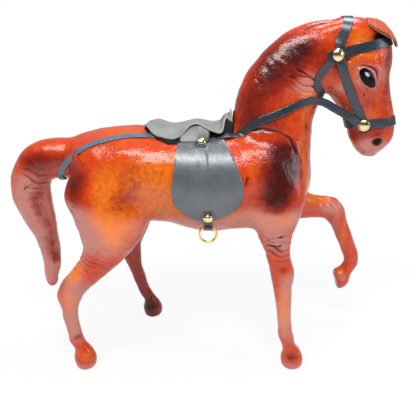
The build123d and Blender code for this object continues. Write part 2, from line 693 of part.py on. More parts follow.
# Stirrup tabs: straps folded round the rings and riveted through the flaps
ring_radius = (RING_INSIDE + RING_WIRE) / 2
ring_sag = ring_radius - (ring_radius**2 - TAB_WIDTH**2 / 4) ** 0.5
ring_slant = RING_WIRE / 2 * ring_radius / (ring_radius - ring_sag)
loop_inside = (RING_WIRE / 2 + ring_slant + ring_sag) / 2 + FIT
ring_lift = loop_inside - FIT - RING_WIRE / 2
fold = 2 * STRAP + FIT
tab_down = tab_pad.x_dir if tab_pad.x_dir.Z < 0 else -tab_pad.x_dir
tab_profile = Plane(origin=tab_pad.origin, x_dir=tab_down, z_dir=tab_down.cross(tab_normal))
tab_tail = SADDLE_RIVET_DIAMETER / 2 + 1
with BuildPart() as right_stirrup_tab:
    with BuildSketch(tab_profile):
        with Locations(((TAB_DROP - tab_tail) / 2, fold / 2)):
            Rectangle(TAB_DROP + tab_tail, fold)
        with Locations((TAB_DROP, fold / 2)):
            Circle(loop_inside + STRAP)
        with Locations((TAB_DROP, fold / 2)):
            Circle(loop_inside, mode=Mode.SUBTRACT)
        with Locations(((TAB_DROP - tab_tail) / 2, fold / 2)):
            Rectangle(TAB_DROP + tab_tail, FIT, mode=Mode.SUBTRACT)
    extrude(amount=TAB_WIDTH / 2, both=True)
    add(tab_hole, mode=Mode.SUBTRACT)
pieces["right_stirrup_tab"] = right_stirrup_tab.part
pieces["left_stirrup_tab"] = mirrored(right_stirrup_tab.part)
right_tab_rivet = rivet(tab_pad, fold + FIT, fold + 2 * FIT + FLAP_LEATHER, SADDLE_RIVET_DIAMETER)
pieces["stirrup_rivets"] = group([right_tab_rivet, mirrored(right_tab_rivet)])

# Stirrup rings: each hangs from its loop and swings about the loop's axis
hinge = tab_pad.origin + tab_down * TAB_DROP + tab_normal * (fold / 2)
with BuildPart() as right_stirrup_ring:
    with Locations(Plane(origin=hinge - Vector(0, 0, ring_radius - ring_lift), z_dir=(0, 1, 0))):
        Torus(ring_radius, RING_WIRE / 2)
pieces["right_stirrup_ring"] = right_stirrup_ring.part
pieces["left_stirrup_ring"] = mirrored(right_stirrup_ring.part)

# Bridle: straps meet at an upper and a lower rivet on each side
LAYER = STRAP + FIT
UPPER = (POLL_X - 14, POLL_HEIGHT - 27.8)
LOWER = (POLL_X + 16, POLL_HEIGHT - 82.5)
skull = [head_outer, neck_outer]
upper_pad = rivet_pad(skull, RIGHT, *UPPER)
lower_pad = rivet_pad([head_outer], RIGHT, *LOWER)
upper_hole = shank_hole(upper_pad)
lower_hole = shank_hole(lower_pad)
bridle_holes = [upper_hole, mirrored(upper_hole), lower_hole, mirrored(lower_hole)]
STRAP_END = RIVET_DIAMETER / 2 + 0.5
PAD_STEPS = (-STRAP_END, PAD_RADIUS)
bridle_cuts = [head_seat, neck_seat, *bridle_holes]

poll = (POLL_X - 3, 0, POLL_HEIGHT + 1)
crown_centre = (UPPER[0], 0, UPPER[1])
crown_way = (0.36, 0, 0.93)
crown_half = pad_stops(upper_pad, poll, 0, PAD_STEPS)
crown_half += [hoop_stop(RIGHT, crown_centre, crown_way, angle) for angle in (56, 46, 37, 28, 19, 10)]
crown_middle = [hoop_stop(RIGHT, crown_centre, crown_way, 0)]
crown = lay_strap(skull, crossed(crown_half, crown_middle), BRIDLE_WIDTH)
pieces["crown_strap"] = carved(crown, *bridle_cuts)

brow_centre = (POLL_X - 1, 0, POLL_HEIGHT - 24.3)
brow_way = (0.976, 0, 0.217)
brow_side = (POLL_X + 12, RIGHT * HEAD_WIDTH / 2, POLL_HEIGHT - 21)
brow_half = pad_stops(upper_pad, brow_side, 2 * LAYER, (-STRAP_END - 3, PAD_RADIUS + 1))
brow_half.append(hoop_stop(RIGHT, brow_centre, brow_way, 92, LAYER / 2))
brow_half += [hoop_stop(RIGHT, brow_centre, brow_way, angle) for angle in (76, 62, 50, 40, 31, 23, 15, 7)]
brow_middle = [hoop_stop(RIGHT, brow_centre, brow_way, 0)]
brow = lay_strap([head_outer], crossed(brow_half, brow_middle), BRIDLE_WIDTH)
pieces["browband"] = carved(brow, *bridle_cuts)

throat_side = (POLL_X - 27, RIGHT * NECK_WIDTH / 2, POLL_HEIGHT - 46)
throat_centre = (POLL_X - 29, 0, POLL_HEIGHT - 46.5)
throat_way = (0.6, 0, -0.8)
throat_reach = NECK_WIDTH * 0.6
throat_half = pad_stops(upper_pad, throat_side, LAYER, PAD_STEPS)
throat_half.append(side_stop(RIGHT, POLL_X - 21.5, POLL_HEIGHT - 38.5, LAYER / 4))
throat_half.append(side_stop(RIGHT, POLL_X - 25.5, POLL_HEIGHT - 44.5))
for angle in (72, 58, 45, 33, 22, 11):
    throat_half.append(hoop_stop(RIGHT, throat_centre, throat_way, angle, 0, throat_reach))
throat_middle = [hoop_stop(RIGHT, throat_centre, throat_way, 0, 0, throat_reach)]
throatlatch = lay_strap(skull, crossed(throat_half, throat_middle), BRIDLE_WIDTH - 1)
pieces["throatlatch"] = carved(throatlatch, *bridle_cuts)

cheek = pad_stops(upper_pad, lower_pad.origin, 3 * LAYER, (-STRAP_END, PAD_RADIUS + 2))
cheek_route = along((UPPER, LOWER), BRIDLE_WIDTH)
cheek += [side_stop(RIGHT, x, z) for x, z in cheek_route[3:-2]]
cheek += pad_stops(lower_pad, upper_pad.origin, LAYER, PAD_STEPS)[::-1]
right_cheek = lay_strap([head_outer], cheek, BRIDLE_WIDTH)
pieces["right_cheek_strap"] = carved(right_cheek, *bridle_cuts)
pieces["left_cheek_strap"] = mirrored(pieces["right_cheek_strap"])

nose_skin = carved(limb(HEAD, LAY + STRAP), limb(HEAD, LAY))
with BuildPart() as nose_slab:
    with BuildSketch(Plane(origin=(LOWER[0], 0, LOWER[1]), x_dir=(1, 0, 0.09), z_dir=(-0.09, 0, 1))):
        Rectangle(REACH, REACH)
    extrude(amount=BRIDLE_WIDTH / 2, both=True)
pieces["noseband"] = carved(shared(nose_skin, nose_slab.part), *bridle_holes)

upper_stack = LAY + 4 * LAYER
lower_stack = LAY + 3 * LAYER
upper_rivet = rivet(upper_pad, upper_stack, upper_stack - LAY)
lower_rivet = rivet(lower_pad, lower_stack, lower_stack - LAY)
bridle_rivets = [upper_rivet, lower_rivet, mirrored(upper_rivet), mirrored(lower_rivet)]
pieces["bridle_rivets"] = group(bridle_rivets)

# Reins: from the lower rivet, free across the throat, along the neck and under the seat
rein_out = lower_pad.origin.Y
rein = pad_stops(lower_pad, (POLL_X - 20, rein_out, POLL_HEIGHT - 65), 2 * LAYER, PAD_STEPS)
for forward, drop in ((4, 76.5), (-8, 70), (-18, 64.5)):
    gap_point = Vector(POLL_X + forward, rein_out, POLL_HEIGHT - drop)
    rein.append(Stop(gap_point, Vector(0, RIGHT, 0), LAYER, REACH, True))
rein_corners = [
    (POLL_X - 28, BARREL_HEIGHT + 71),
    (POLL_X - 39, BARREL_HEIGHT + 68.6),
    (SHOULDER_X - 3, BARREL_HEIGHT + 59.8),
    (SHOULDER_X - 13, BARREL_HEIGHT + 56),
]
rein_neck = along(rein_corners, REIN_WIDTH)
rein += [side_stop(RIGHT, x, z) for x, z in rein_neck]
slant = Vector(0, RIGHT, 1).normalized()
back_corners = [
    (SHOULDER_X - 22, BARREL_HEIGHT + 52),
    (SHOULDER_X - 32, BARREL_HEIGHT + 48),
    (SADDLE_X + 22, BARREL_HEIGHT + 46.5),
]
end_corners = [(SADDLE_X + 17, BARREL_HEIGHT + 45), (SADDLE_X + 8, BARREL_HEIGHT + 43)]
for x, z in along(back_corners, REIN_WIDTH):
    rein.append(Stop(Vector(x, RIGHT * 21, z), slant))
for x, z in along(end_corners, REIN_WIDTH):
    rein.append(Stop(Vector(x, RIGHT * 21, z), slant, BAND_LIFT))
right_rein = lay_strap([torso_outer, neck_outer], rein, REIN_WIDTH)
pieces["right_rein"] = carved(right_rein, torso_seat, neck_seat, *bridle_cuts)
pieces["left_rein"] = mirrored(pieces["right_rein"])

# Crupper: strap from the saddle over the croup and under the tail
croup_slant = Vector(0, RIGHT * 0.6, 0.8)
croup_corners = [
    (SADDLE_X - 41, BARREL_HEIGHT + 46),
    (SADDLE_X - 62, BARREL_HEIGHT + 45),
    (SADDLE_X - 75, BARREL_HEIGHT + 42.5),
    (SADDLE_X - 87, BARREL_HEIGHT + 38.5),
    (DOCK_X + 16, BARREL_HEIGHT + 34),
    (DOCK_X + 8, BARREL_HEIGHT + 29),
]
crupper_half = []
for x, z in along(croup_corners, 8):
    crupper_half.append(Stop(Vector(x, RIGHT * 22, z), croup_slant))
for back, rise in ((-2, 23), (-8, 16.5), (-12, 10)):
    crupper_half.append(side_stop(RIGHT, DOCK_X + back, BARREL_HEIGHT + rise))
dock = (DOCK_X - 13.5, 0, BARREL_HEIGHT + 18)
for angle in (130, 143, 156, 168):
    crupper_half.append(hoop_stop(RIGHT, dock, (0, 0, 1), angle))
crupper_middle = [hoop_stop(RIGHT, dock, (0, 0, 1), 180)]
crupper = lay_strap([torso_outer, tail_outer], crossed(crupper_half, crupper_middle), CRUPPER_WIDTH)
pieces["crupper_strap"] = carved(crupper, torso_seat, tail_seat)

# Stand the finished horse with its origin under the middle of its outline
corners = [part.bounding_box() for part in pieces.values()]
middle_x = (min(box.min.X for box in corners) + max(box.max.X for box in corners)) / 2
middle_y = (min(box.min.Y for box in corners) + max(box.max.Y for box in corners)) / 2
centred = Location((-middle_x, -middle_y, 0))
os.makedirs("parts", exist_ok=True)
for name, part in pieces.items():
    placed = part.moved(centred)
    placed.label = name
    export_step(placed, f"parts/{name}.step")
print("right hinge", hinge - Vector(middle_x, middle_y, 0))
print("origin moved by", middle_x, middle_y)
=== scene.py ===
"""Leather-covered model horse: dyed hide, glass eyes, black tack and brass fittings in a white studio."""

import math

import bmesh
import bpy
import numpy as np
from bpy.props import FloatProperty, FloatVectorProperty, PointerProperty
from bpy.types import Operator, Panel, PropertyGroup
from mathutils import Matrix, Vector, noise
from mathutils.bvhtree import BVHTree
from mathutils.kdtree import KDTree


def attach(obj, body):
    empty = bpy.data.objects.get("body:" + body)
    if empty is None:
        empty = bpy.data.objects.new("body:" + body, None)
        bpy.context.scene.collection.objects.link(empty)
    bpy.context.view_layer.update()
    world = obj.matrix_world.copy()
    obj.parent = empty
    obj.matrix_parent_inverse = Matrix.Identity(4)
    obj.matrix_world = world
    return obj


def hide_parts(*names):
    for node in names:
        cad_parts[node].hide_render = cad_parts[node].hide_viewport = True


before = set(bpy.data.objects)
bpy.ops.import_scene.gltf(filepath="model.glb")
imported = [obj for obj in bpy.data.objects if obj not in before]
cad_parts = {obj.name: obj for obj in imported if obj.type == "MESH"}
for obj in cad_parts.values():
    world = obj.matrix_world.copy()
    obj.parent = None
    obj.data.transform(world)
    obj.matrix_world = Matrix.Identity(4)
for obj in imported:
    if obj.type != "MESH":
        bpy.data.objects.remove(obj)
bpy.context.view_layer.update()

bl_info = {
    "name": "Leather horse",
    "version": (1, 0, 0),
    "blender": (4, 5, 0),
    "location": "3D View > Sidebar > Leather horse",
    "description": "Dresses a leather-covered model horse and its tack",
    "category": "Object",
}

MM = 0.001
BODY = "horse"
SIDES = {"right": 1, "left": -1}
LEGS = [f"{side}_{end}" for end in ("fore", "hind") for side in SIDES]
LIMBS = ["torso", "neck", "head", "tail", *(f"{leg}_leg" for leg in LEGS)]
HOOFS = [f"{leg}_hoof" for leg in LEGS]
STRAPS = (
    "crown_strap", "browband", "throatlatch", "noseband", "right_cheek_strap", "left_cheek_strap",
    "right_rein", "left_rein", "crupper_strap", "saddle_band", "right_stirrup_tab", "left_stirrup_tab",
)


def colour(name, words, value):
    """Colour setting."""
    return FloatVectorProperty(
        name=name, description=words, subtype="COLOR", size=3, min=0, max=1, default=value
    )


def length(name, words, value):
    """Length setting."""
    return FloatProperty(name=name, description=words, default=value, unit="LENGTH")


class HideSettings(PropertyGroup):
    """Mesh and dye of the hide."""

    cell: length("Cell", "Mesh cell of the hide", 0.00175)
    lumps: length("Lumps", "Height of the hide's unevenness", 0.00055)
    orange: colour("Orange dye", "Bright dye on the barrel and thighs", (0.78, 0.165, 0.008))
    russet: colour("Russet dye", "Main dye", (0.64, 0.056, 0.005))
    # Crimson and maroon also paint shade: in creases, under the ears and down the nose's front
    crimson: colour("Crimson dye", "Deep red dye round the dark patches", (0.27, 0.016, 0.006))
    maroon: colour("Maroon dye", "Dark dye rubbed over muscles", (0.055, 0.006, 0.005))
    dust: colour("Bare hide", "Greyish pink hide where the dye is thin", (0.53, 0.19, 0.155))
    salmon: colour("Salmon dye", "Bright dye rubbed thin", (0.83, 0.215, 0.055))


class TackSettings(PropertyGroup):
    """Black leather of the saddle and bridle."""

    strap: colour("Strap leather", "Satin black leather", (0.017, 0.025, 0.035))
    # Black flap leather, made grey partly to stand in for its sheen: a painted reflection
    flap: colour("Flap leather", "Saddle flap leather", (0.080, 0.090, 0.101))
    # The seat is black leather; this grey stands in for the glare on its top, a painted sheen
    seat: colour("Seat leather", "Matt leather of the seat", (0.20, 0.20, 0.19))
    edge: colour("Cut edge", "Raw edge of the seat leather", (0.42, 0.42, 0.40))
    rounding: length("Rounding", "Rounding of cut edges", 0.0002)


class BrassSettings(PropertyGroup):
    """Brass of the rivets and rings."""

    rivet: colour("Rivet brass", "Pale polished brass", (0.92, 0.76, 0.42))
    ring: colour("Ring brass", "Yellow polished brass", (0.95, 0.67, 0.16))


class StageSettings(PropertyGroup):
    """Camera and light."""

    distance: length("Distance", "Camera distance", 0.418)
    elevation: FloatProperty(
        name="Elevation", description="Camera height angle", default=math.radians(19.5), subtype="ANGLE"
    )
    lens: FloatProperty(name="Lens", description="Focal length", default=39.81, unit="CAMERA")
    key: FloatProperty(name="Key light", description="Power of the key light", default=10.8, unit="POWER")
    sky: FloatProperty(name="Sky", description="Strength of the surroundings", default=0.27)


def settings():
    """The scene's settings of the horse."""
    scene = bpy.context.scene
    return scene.horse_hide, scene.horse_tack, scene.horse_brass, scene.horse_stage


class Finish:
    """Shader nodes of a material or of the surroundings."""

    def __init__(self, name, kind="materials"):
        self.owner = getattr(bpy.data, kind).new(name)
        self.owner.use_nodes = True
        self.tree = self.owner.node_tree
        self.places = self.add("ShaderNodeTexCoord").outputs

    def connect(self, node, inputs):
        """Link sockets to a node's inputs, or set the inputs to fixed values."""
        for key, value in inputs.items():
            if isinstance(value, bpy.types.NodeSocket):
                self.tree.links.new(value, node.inputs[key])
            else:
                node.inputs[key].default_value = value

    def add(self, kind, inputs=None, **values):
        """New node with its inputs and settings."""
        made = self.tree.nodes.new(kind)
        for name, value in values.items():
            setattr(made, name, value)
        self.connect(made, inputs or {})
        return made

    def noise(self, scale, detail=3.0, rough=0.55, stretch=None):
        """Noise value at a scale given in repeats per metre."""
        place = self.places["Object"]
        if stretch:
            place = self.add("ShaderNodeMapping", {"Vector": place, "Scale": stretch}).outputs[0]
        inputs = {"Vector": place, "Scale": scale, "Detail": detail, "Roughness": rough}
        return self.add("ShaderNodeTexNoise", inputs).outputs["Fac"]

    def ramp(self, value, low, high, out_low=0.0, out_high=1.0):
        """Value moved from one range to another and kept inside it."""
        inputs = {"Value": value, 1: low, 2: high, 3: out_low, 4: out_high}
        return self.add("ShaderNodeMapRange", inputs).outputs[0]

    def mix(self, share, first, second):
        """Mix of two colours."""
        first, second = (c if isinstance(c, bpy.types.NodeSocket) else (*c, 1) for c in (first, second))
        return self.add("ShaderNodeMix", {0: share, 6: first, 7: second}, data_type="RGBA").outputs[2]

    def mix_value(self, share, first, second):
        """Mix of two values."""
        return self.add("ShaderNodeMix", {0: share, 2: first, 3: second}).outputs[0]

    def math(self, how, first, second):
        """Sum, product or the like of two values."""
        return self.add("ShaderNodeMath", {0: first, 1: second}, operation=how).outputs[0]

    def bump(self, *layers):
        """Normal from layers of height, strength and distance, laid over each other."""
        inputs = {}
        for height, strength, distance in layers:
            inputs.update(Height=height, Strength=strength, Distance=distance)
            inputs["Normal"] = self.add("ShaderNodeBump", inputs).outputs["Normal"]
        return inputs["Normal"]

    def painted(self, name):
        """Value of a painted layer on the mesh."""
        return self.add("ShaderNodeAttribute", attribute_name=name).outputs["Fac"]

    def seen(self):
        """Whether a ray is the camera's or went through glass, and whether a shiny surface sent it."""
        path = self.add("ShaderNodeLightPath").outputs
        looking = self.math("MAXIMUM", path["Is Camera Ray"], path["Is Transmission Ray"])
        return looking, path["Is Glossy Ray"]

    def shaded(self, inputs):
        """The material, with the inputs of its shader."""
        self.connect(self.tree.nodes["Principled BSDF"], inputs)
        return self.owner


def hide_material(name, tone):
    """Varnished leather with rubbed dye, dark nicks and painted shade."""
    make = Finish(name)
    cloud = make.noise(55, 5, 0.6)
    mottle = make.noise(260, 4, 0.65)
    speck = make.noise(900, 2, 0.6)
    wrinkle = make.noise(190, 5, 0.65)
    pores = {"Vector": make.places["Object"], "Scale": 620}
    cells = make.add("ShaderNodeTexVoronoi", pores).outputs["Distance"]
    nick_and_shade = make.painted("nick_and_shade")
    clouds, mottles = make.math("MULTIPLY", cloud, 0.75), make.math("MULTIPLY", mottle, 0.45)
    stir = make.math("SUBTRACT", make.math("ADD", clouds, mottles), 0.60)

    def spread(layer, low, high):
        """Share of a painted layer, with uneven edges."""
        return make.ramp(make.math("ADD", make.painted(layer), stir), low, high)

    bright = spread("bright", 0.25, 0.85)
    dye = make.mix(bright, tone.russet, tone.orange)
    for share, over in (
        (make.ramp(mottle, 0.35, 0.75, 0.0, 0.6), tone.crimson),
        (spread("bare", 0.32, 0.78), make.mix(bright, tone.dust, tone.salmon)),
        (spread("dark", 0.16, 0.54), tone.crimson),
        (spread("dark", 0.55, 1.0), tone.maroon),
        # Near black of cuts and seams, and painted shade in creases, nostrils, lid folds and under the ears
        (nick_and_shade, (0.012, 0.006, 0.006)),
    ):
        dye = make.mix(share, dye, over)
    return make.shaded({
        "Base Color": dye,
        "Roughness": make.ramp(mottle, 0.3, 0.7, 0.24, 0.42),
        "Coat Weight": make.ramp(nick_and_shade, 0.0, 0.8, 0.85, 0.0),
        "Coat Roughness": 0.08,
        "Specular IOR Level": 0.08,
        "Normal": make.bump((wrinkle, 0.6, 0.0014), (cells, 0.5, 0.0004), (speck, 0.4, 0.0003)),
        "Coat Normal": make.bump((wrinkle, 0.5, 0.0010), (cells, 0.06, 0.0003)),
    })


def tack_material(name, base, rough, shine=0.6):
    """Satin black leather with a fine grain and rubbed places."""
    make = Finish(name)
    rub = make.ramp(make.noise(75, 4), 0.35, 0.75, 0.0, 0.6)
    grain = make.noise(1500, 2, stretch=(1.0, 1.0, 0.06))
    fine = make.noise(420, 4)
    pale = [min(1, 1.7 * c + 0.004) for c in base]
    return make.shaded({
        "Base Color": make.mix(rub, base, pale),
        "Roughness": make.ramp(fine, 0.3, 0.7, rough - 0.06, rough + 0.08),
        "Specular IOR Level": shine,
        "Normal": make.bump((grain, 0.2, 0.0002), (fine, 0.15, 0.0003)),
    })


def edge_material(name, base):
    """Raw cut edge of leather, with its fibres."""
    make = Finish(name)
    fibre = make.noise(1400, 5, 0.7)
    dark = [c * 0.55 for c in base]
    return make.shaded({
        "Base Color": make.mix(make.ramp(fibre, 0.3, 0.7), dark, base),
        "Roughness": 0.85,
        "Normal": make.bump((fibre, 0.5, 0.0003)),
    })


def brass_material(name, base, rough):
    """Polished brass with fine scratches and a little tarnish."""
    make = Finish(name)
    cloud = make.noise(420, 3)
    dull = [c * k for c, k in zip(base, (0.72, 0.62, 0.5))]
    return make.shaded({
        "Base Color": make.mix(make.ramp(cloud, 0.45, 0.8), base, dull),
        "Roughness": make.ramp(cloud, 0.3, 0.8, rough, rough + 0.14),
        "Metallic": 1.0,
        "Normal": make.bump((make.noise(5200, 2), 0.06, 0.0001)),
    })


def glass_eye_material():
    """Nearly black glass with a brown depth and a painted highlight."""
    make = Finish("eye_glass")
    depth = make.ramp(make.noise(300, 4), 0.4, 0.8)
    dark = make.mix(depth, (0.003, 0.002, 0.002), (0.02, 0.007, 0.004))
    return make.shaded({
        "Base Color": make.mix(make.painted("painted_glint"), dark, (0.45, 0.52, 0.56)),
        "Roughness": 0.05,
        "Specular IOR Level": 0.14,
    })


def wood_material():
    """Raw wood of the hidden cores and dowels."""
    make = Finish("core_wood")
    rings = make.noise(3.0, 6, 0.6, stretch=(14, 120, 120))
    return make.shaded({
        "Base Color": make.mix(make.ramp(rings, 0.35, 0.65), (0.50, 0.33, 0.18), (0.72, 0.54, 0.34)),
        "Roughness": 0.7,
        "Normal": make.bump((rings, 0.3, 0.0004)),
    })


def finished(piece, body, slot, *nodes):
    """Put a piece on its body and let it stand for its nodes."""
    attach(piece, body)
    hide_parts(*nodes)
    return piece


def new_piece(name, mesh, *materials):
    """Object of a mesh with its materials, linked to the scene."""
    mesh.name = name
    for material in materials:
        mesh.materials.append(material)
    piece = bpy.data.objects.new(name, mesh)
    bpy.context.scene.collection.objects.link(piece)
    return piece


def grid_faces(rows, columns, closed=False):
    """Faces of rows of points, which may close into rings."""
    pairs = [(k, (k + 1) % columns) for k in range(columns if closed else columns - 1)]
    starts = [row * columns for row in range(rows - 1)]
    return [(s + a, s + a + columns, s + b + columns, s + b) for s in starts for a, b in pairs]


def mesh_of(points, faces):
    """Smooth mesh from points in millimetres and faces."""
    mesh = bpy.data.meshes.new("mesh")
    mesh.from_pydata([tuple(c * MM for c in p) for p in points], [], faces)
    mesh.polygons.foreach_set("use_smooth", [True] * len(mesh.polygons))
    mesh.update()
    return mesh


def modified(piece, kind, **values):
    """Apply a modifier to a piece's mesh."""
    modifier = piece.modifiers.new(kind.title(), kind)
    for name, value in values.items():
        setattr(modifier, name, value)
    ready = piece.evaluated_get(bpy.context.evaluated_depsgraph_get())
    mesh = bpy.data.meshes.new_from_object(ready)
    piece.modifiers.clear()
    old = piece.data
    piece.data = mesh
    mesh.name = piece.name
    bpy.data.meshes.remove(old)


def copied(names):
    """One mesh from copies of several nodes, with split points welded."""
    shape = bmesh.new()
    for name in names:
        shape.from_mesh(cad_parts[name].data)
    bmesh.ops.remove_doubles(shape, verts=shape.verts, dist=1e-6)
    mesh = bpy.data.meshes.new("copy")
    shape.to_mesh(mesh)
    shape.free()
    mesh.materials.clear()
    return mesh


def surface_of(names, meshes=()):
    """Search tree over several nodes and meshes, in millimetres."""
    points, faces = [], []
    for mesh in [*(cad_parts[name].data for name in names), *meshes]:
        start = len(points)
        points += [v.co / MM for v in mesh.vertices]
        faces += [[start + k for k in p.vertices] for p in mesh.polygons]
    return BVHTree.FromPolygons(points, faces)


class Clay:
    """Points of the hide while it is shaped, in millimetres."""

    def __init__(self, mesh):
        self.mesh = mesh
        self.co = np.empty(len(mesh.vertices) * 3)
        mesh.vertices.foreach_get("co", self.co)
        self.co = self.co.reshape(-1, 3) / MM
        edges = np.empty(len(mesh.edges) * 2, dtype=np.int64)
        mesh.edges.foreach_get("vertices", edges)
        edges = edges.reshape(-1, 2)
        self.ends = np.concatenate([edges[:, 0], edges[:, 1]])
        self.others = np.concatenate([edges[:, 1], edges[:, 0]])
        self.degree = np.maximum(np.bincount(self.ends, minlength=len(self.co)), 1)

    def store(self):
        """Write the points back to the mesh."""
        self.mesh.vertices.foreach_set("co", (self.co * MM).ravel())
        self.mesh.update()

    def normals(self):
        """Outward direction at each point."""
        self.store()
        out = np.empty(len(self.co) * 3, dtype=np.float32)
        self.mesh.vertex_normals.foreach_get("vector", out)
        return out.reshape(-1, 3).astype(float)

    def around(self, values):
        """Mean of a value over each point's neighbours."""
        return np.bincount(self.ends, values[self.others], len(self.co)) / self.degree

    def pull(self):
        """Step from each point to the middle of its neighbours."""
        return np.column_stack([self.around(self.co[:, axis]) for axis in range(3)]) - self.co

    def relax(self, weight, rounds):
        """Smooth without shrinking."""
        for _ in range(rounds):
            self.co += self.pull() * (0.5 * weight)
            self.co -= self.pull() * (0.52 * weight)

    def fill(self, weight, rounds):
        """Round out hollows and leave bulges."""
        for _ in range(rounds):
            step = self.pull()
            out = np.einsum("ij,ij->i", step, self.normals())[:, None]
            self.co += step * weight * np.where(out > 0, 0.9, 0.18)

    def folded(self, mirror=True):
        """Points, with the left side laid over the right where both are alike."""
        x, y, z = self.co.T
        return np.column_stack([x, -np.abs(y), z]) if mirror else self.co

    def near(self, centre, radii, mirror=True):
        """Soft share from 1 at a centre to 0 past its radii."""
        away = ((self.folded(mirror) - centre) / radii) ** 2
        return np.exp(-away.sum(axis=1))

    def along(self, points, width, mirror=True):
        """Soft share from 1 on a line through several points to 0 past its width."""
        co = self.folded(mirror)
        best = np.full(len(co), 1e9)
        for start, end in zip(points, points[1:]):
            start, end = np.array(start, float), np.array(end, float)
            run = end - start
            share = np.clip(((co - start) @ run) / (run @ run), 0, 1)
            best = np.minimum(best, np.linalg.norm(co - start - share[:, None] * run, axis=1))
        return np.exp(-((best / width) ** 2))

    def swell(self, height):
        """Move every point outwards by its own height."""
        self.co += self.normals() * height[:, None]

    def gaps_to(self, names, deep, beyond):
        """Way out from each point to the nodes, searched from below it to beyond it, or nan."""
        tree = surface_of(names)
        gaps = np.full(len(self.co), np.nan)
        for k, (point, way) in enumerate(zip(self.co, self.normals())):
            away = tree.ray_cast(Vector(point - way * deep), Vector(way), deep + beyond)[3]
            if away is not None:
                gaps[k] = away - deep
        return gaps


def wander(co, size, seed):
    """Smooth noise at each point, from -1 to 1."""
    shift = Vector((seed * 17.3, seed * 5.1, seed * 9.7))
    return np.array([noise.noise(Vector(p) / size + shift) for p in co])


# Where limbs grow out of the trunk: centre, reach
GROINS = [
    ((64, -32, 153.5), 58), ((-74, -32, 153.5), 62), ((66, 0, 207.5), 52), ((-108, 0, 183.5), 24),
]
# Muscles and hollows, alike on both sides: centre, radii, height
MUSCLES = [
    ((78, -28, 158.5), (14, 14, 16), 1.6), ((64, -36, 179.5), (14, 14, 20), 1.3),
    ((49, -38, 165.5), (5, 14, 20), -0.9), ((-48, -40, 163.5), (13, 14, 18), -1.2),
    ((-62, -33, 196.5), (9, 10, 8), 1), ((-84, -38, 171.5), (18, 14, 22), 1.2),
    ((-98, -36, 143.5), (8, 12, 16), -0.7), ((-88, -44, 123.5), (12, 12, 14), 0.9),
    ((-30, -40, 173.5), (22, 14, 22), 0.6), ((84, -18, 215.5), (10, 12, 22), 0.9),
    ((70, -20, 225.5), (7, 12, 20), -0.9), ((56, -16, 251.5), (14, 12, 22), 0.8),
    ((66, -45, 131.5), (10, 12, 14), 0.9), ((-112, -46, 86.5), (6, 8, 6), 0.7),
    ((74, -47, 93.5), (7, 8, 7), 0.8), ((-107, -48, 33), (6, 8, 5), 0.7), ((79, -49, 31.4), (6, 8, 5), 0.7),
]
SEAM = (
    (44.7, -20.5, 212.4), (51.7, -22.7, 214), (58.1, -23.8, 212.7),
    (64.7, -23.9, 211.9), (74.2, -22.8, 206.7), (80.5, -24.2, 195.3),
)
# Tendons, folds and creases, alike on both sides: line, width, height
CORDS = [
    (((-113, -44, 77.5), (-112, -46, 41.2)), 2.2, 0.5), (((-104, -50, 77.5), (-105, -50, 41.2)), 1.8, -0.5),
    (((70, -44, 85.5), (74, -46, 41.2)), 2, 0.5), (((77, -50, 85.5), (79, -51, 41.2)), 1.8, -0.5),
    (((-128, -16, 171.5), (-140, -15, 169.5), (-152, -10, 165.5)), 2.4, -0.8),
    (SEAM, 1.7, -0.8),
    (((48, -24, 208.5), (58, -27, 208), (68, -27, 205.5), (76, -27, 198.5)), 3, 0.8),
]
# Shapes of the face, alike on both sides: centre, radii, height
FEATURES = [
    ((118, -16, 245.5), (15, 12, 13), 1.5), ((112, -17, 269.5), (8, 10, 7), -1.2),
    ((152, -9, 196.5), (6, 8, 5), 0.9), ((139, -5, 190.5), (7, 8, 4), 0.8),
    ((136, -13, 229.5), (8, 8, 9), -0.7), ((150.5, -11.5, 200.8), (4.6, 6, 3.6), -3),
    ((126, -12, 215.5), (9, 9, 9), -0.6),
]
MOUTH = ((128, -9, 200), (134, -8.5, 195), (141, -6.5, 190.5))
FACE_LINES = [
    (((128, -17.5, 243.5), (140, -15, 231.5), (149, -12, 217.5)), 3.2, 0.8),
    (((120, -18, 263.5), (128, -18.6, 268.5), (138, -17, 266), (145, -15, 257.5)), 2.6, 1.2),
    (((143.5, -15.8, 266.5), (146.6, -14.4, 257.5), (147.4, -13.6, 246.5)), 1.7, 1),
    (((140, -17, 267.5), (143.4, -15.6, 258.5), (144.4, -14.6, 249.5)), 1.2, -0.7),
    (((145, -12.5, 203.5), (150, -11.6, 206), (154.5, -9.6, 203)), 1.5, 1.4),
    (MOUTH, 1.4, -0.9),
    (((131, -9, 202), (137, -9, 197), (143, -8, 193.5)), 1.4, 0.5),
    (((134, -11.5, 206), (142, -11.5, 209.5), (150, -10, 211.5)), 2.6, 1),
]
# Wrinkled skin, the first five with painted shade in their creases: centre, radii, way across the folds,
# spacing, height, seed
WRINKLES = [
    ((66, -44, 118.5), (17, 18, 14), (0.1, 0, 1), 5.6, 1.15, 3),
    ((-94, -47, 107.5), (15, 16, 12), (0.55, 0, 0.9), 5.4, 1.15, 4),
    ((84, -16, 249.5), (11, 12, 12), (0.42, 0, 0.9), 5, 1.1, 5),
    ((-142, -12, 169.5), (15, 14, 12), (0.35, 0, 0.95), 5.8, 1, 6),
    ((-104, -34, 139.5), (8, 14, 15), (0.3, 0, 1), 6, 0.8, 7),
    ((90, -14, 208.5), (7, 10, 24), (1, 0, 0.25), 6, 0.8, 8),
    ((-143, -10, 128.5), (9, 14, 26), (0.9, 0, 0.35), 7.5, 0.8, 10),
    ((60, -16, 255.5), (16, 12, 26), (0.8, 0, 0.6), 9, 0.6, 11),
]
SHADED_CREASES = WRINKLES[:5]
# The raised foreleg wrinkles behind its knee
FAR_WRINKLES = [((124, 25, 131.5), (15, 16, 10), (0.9, 0, 0.5), 5.4, 1, 9)]
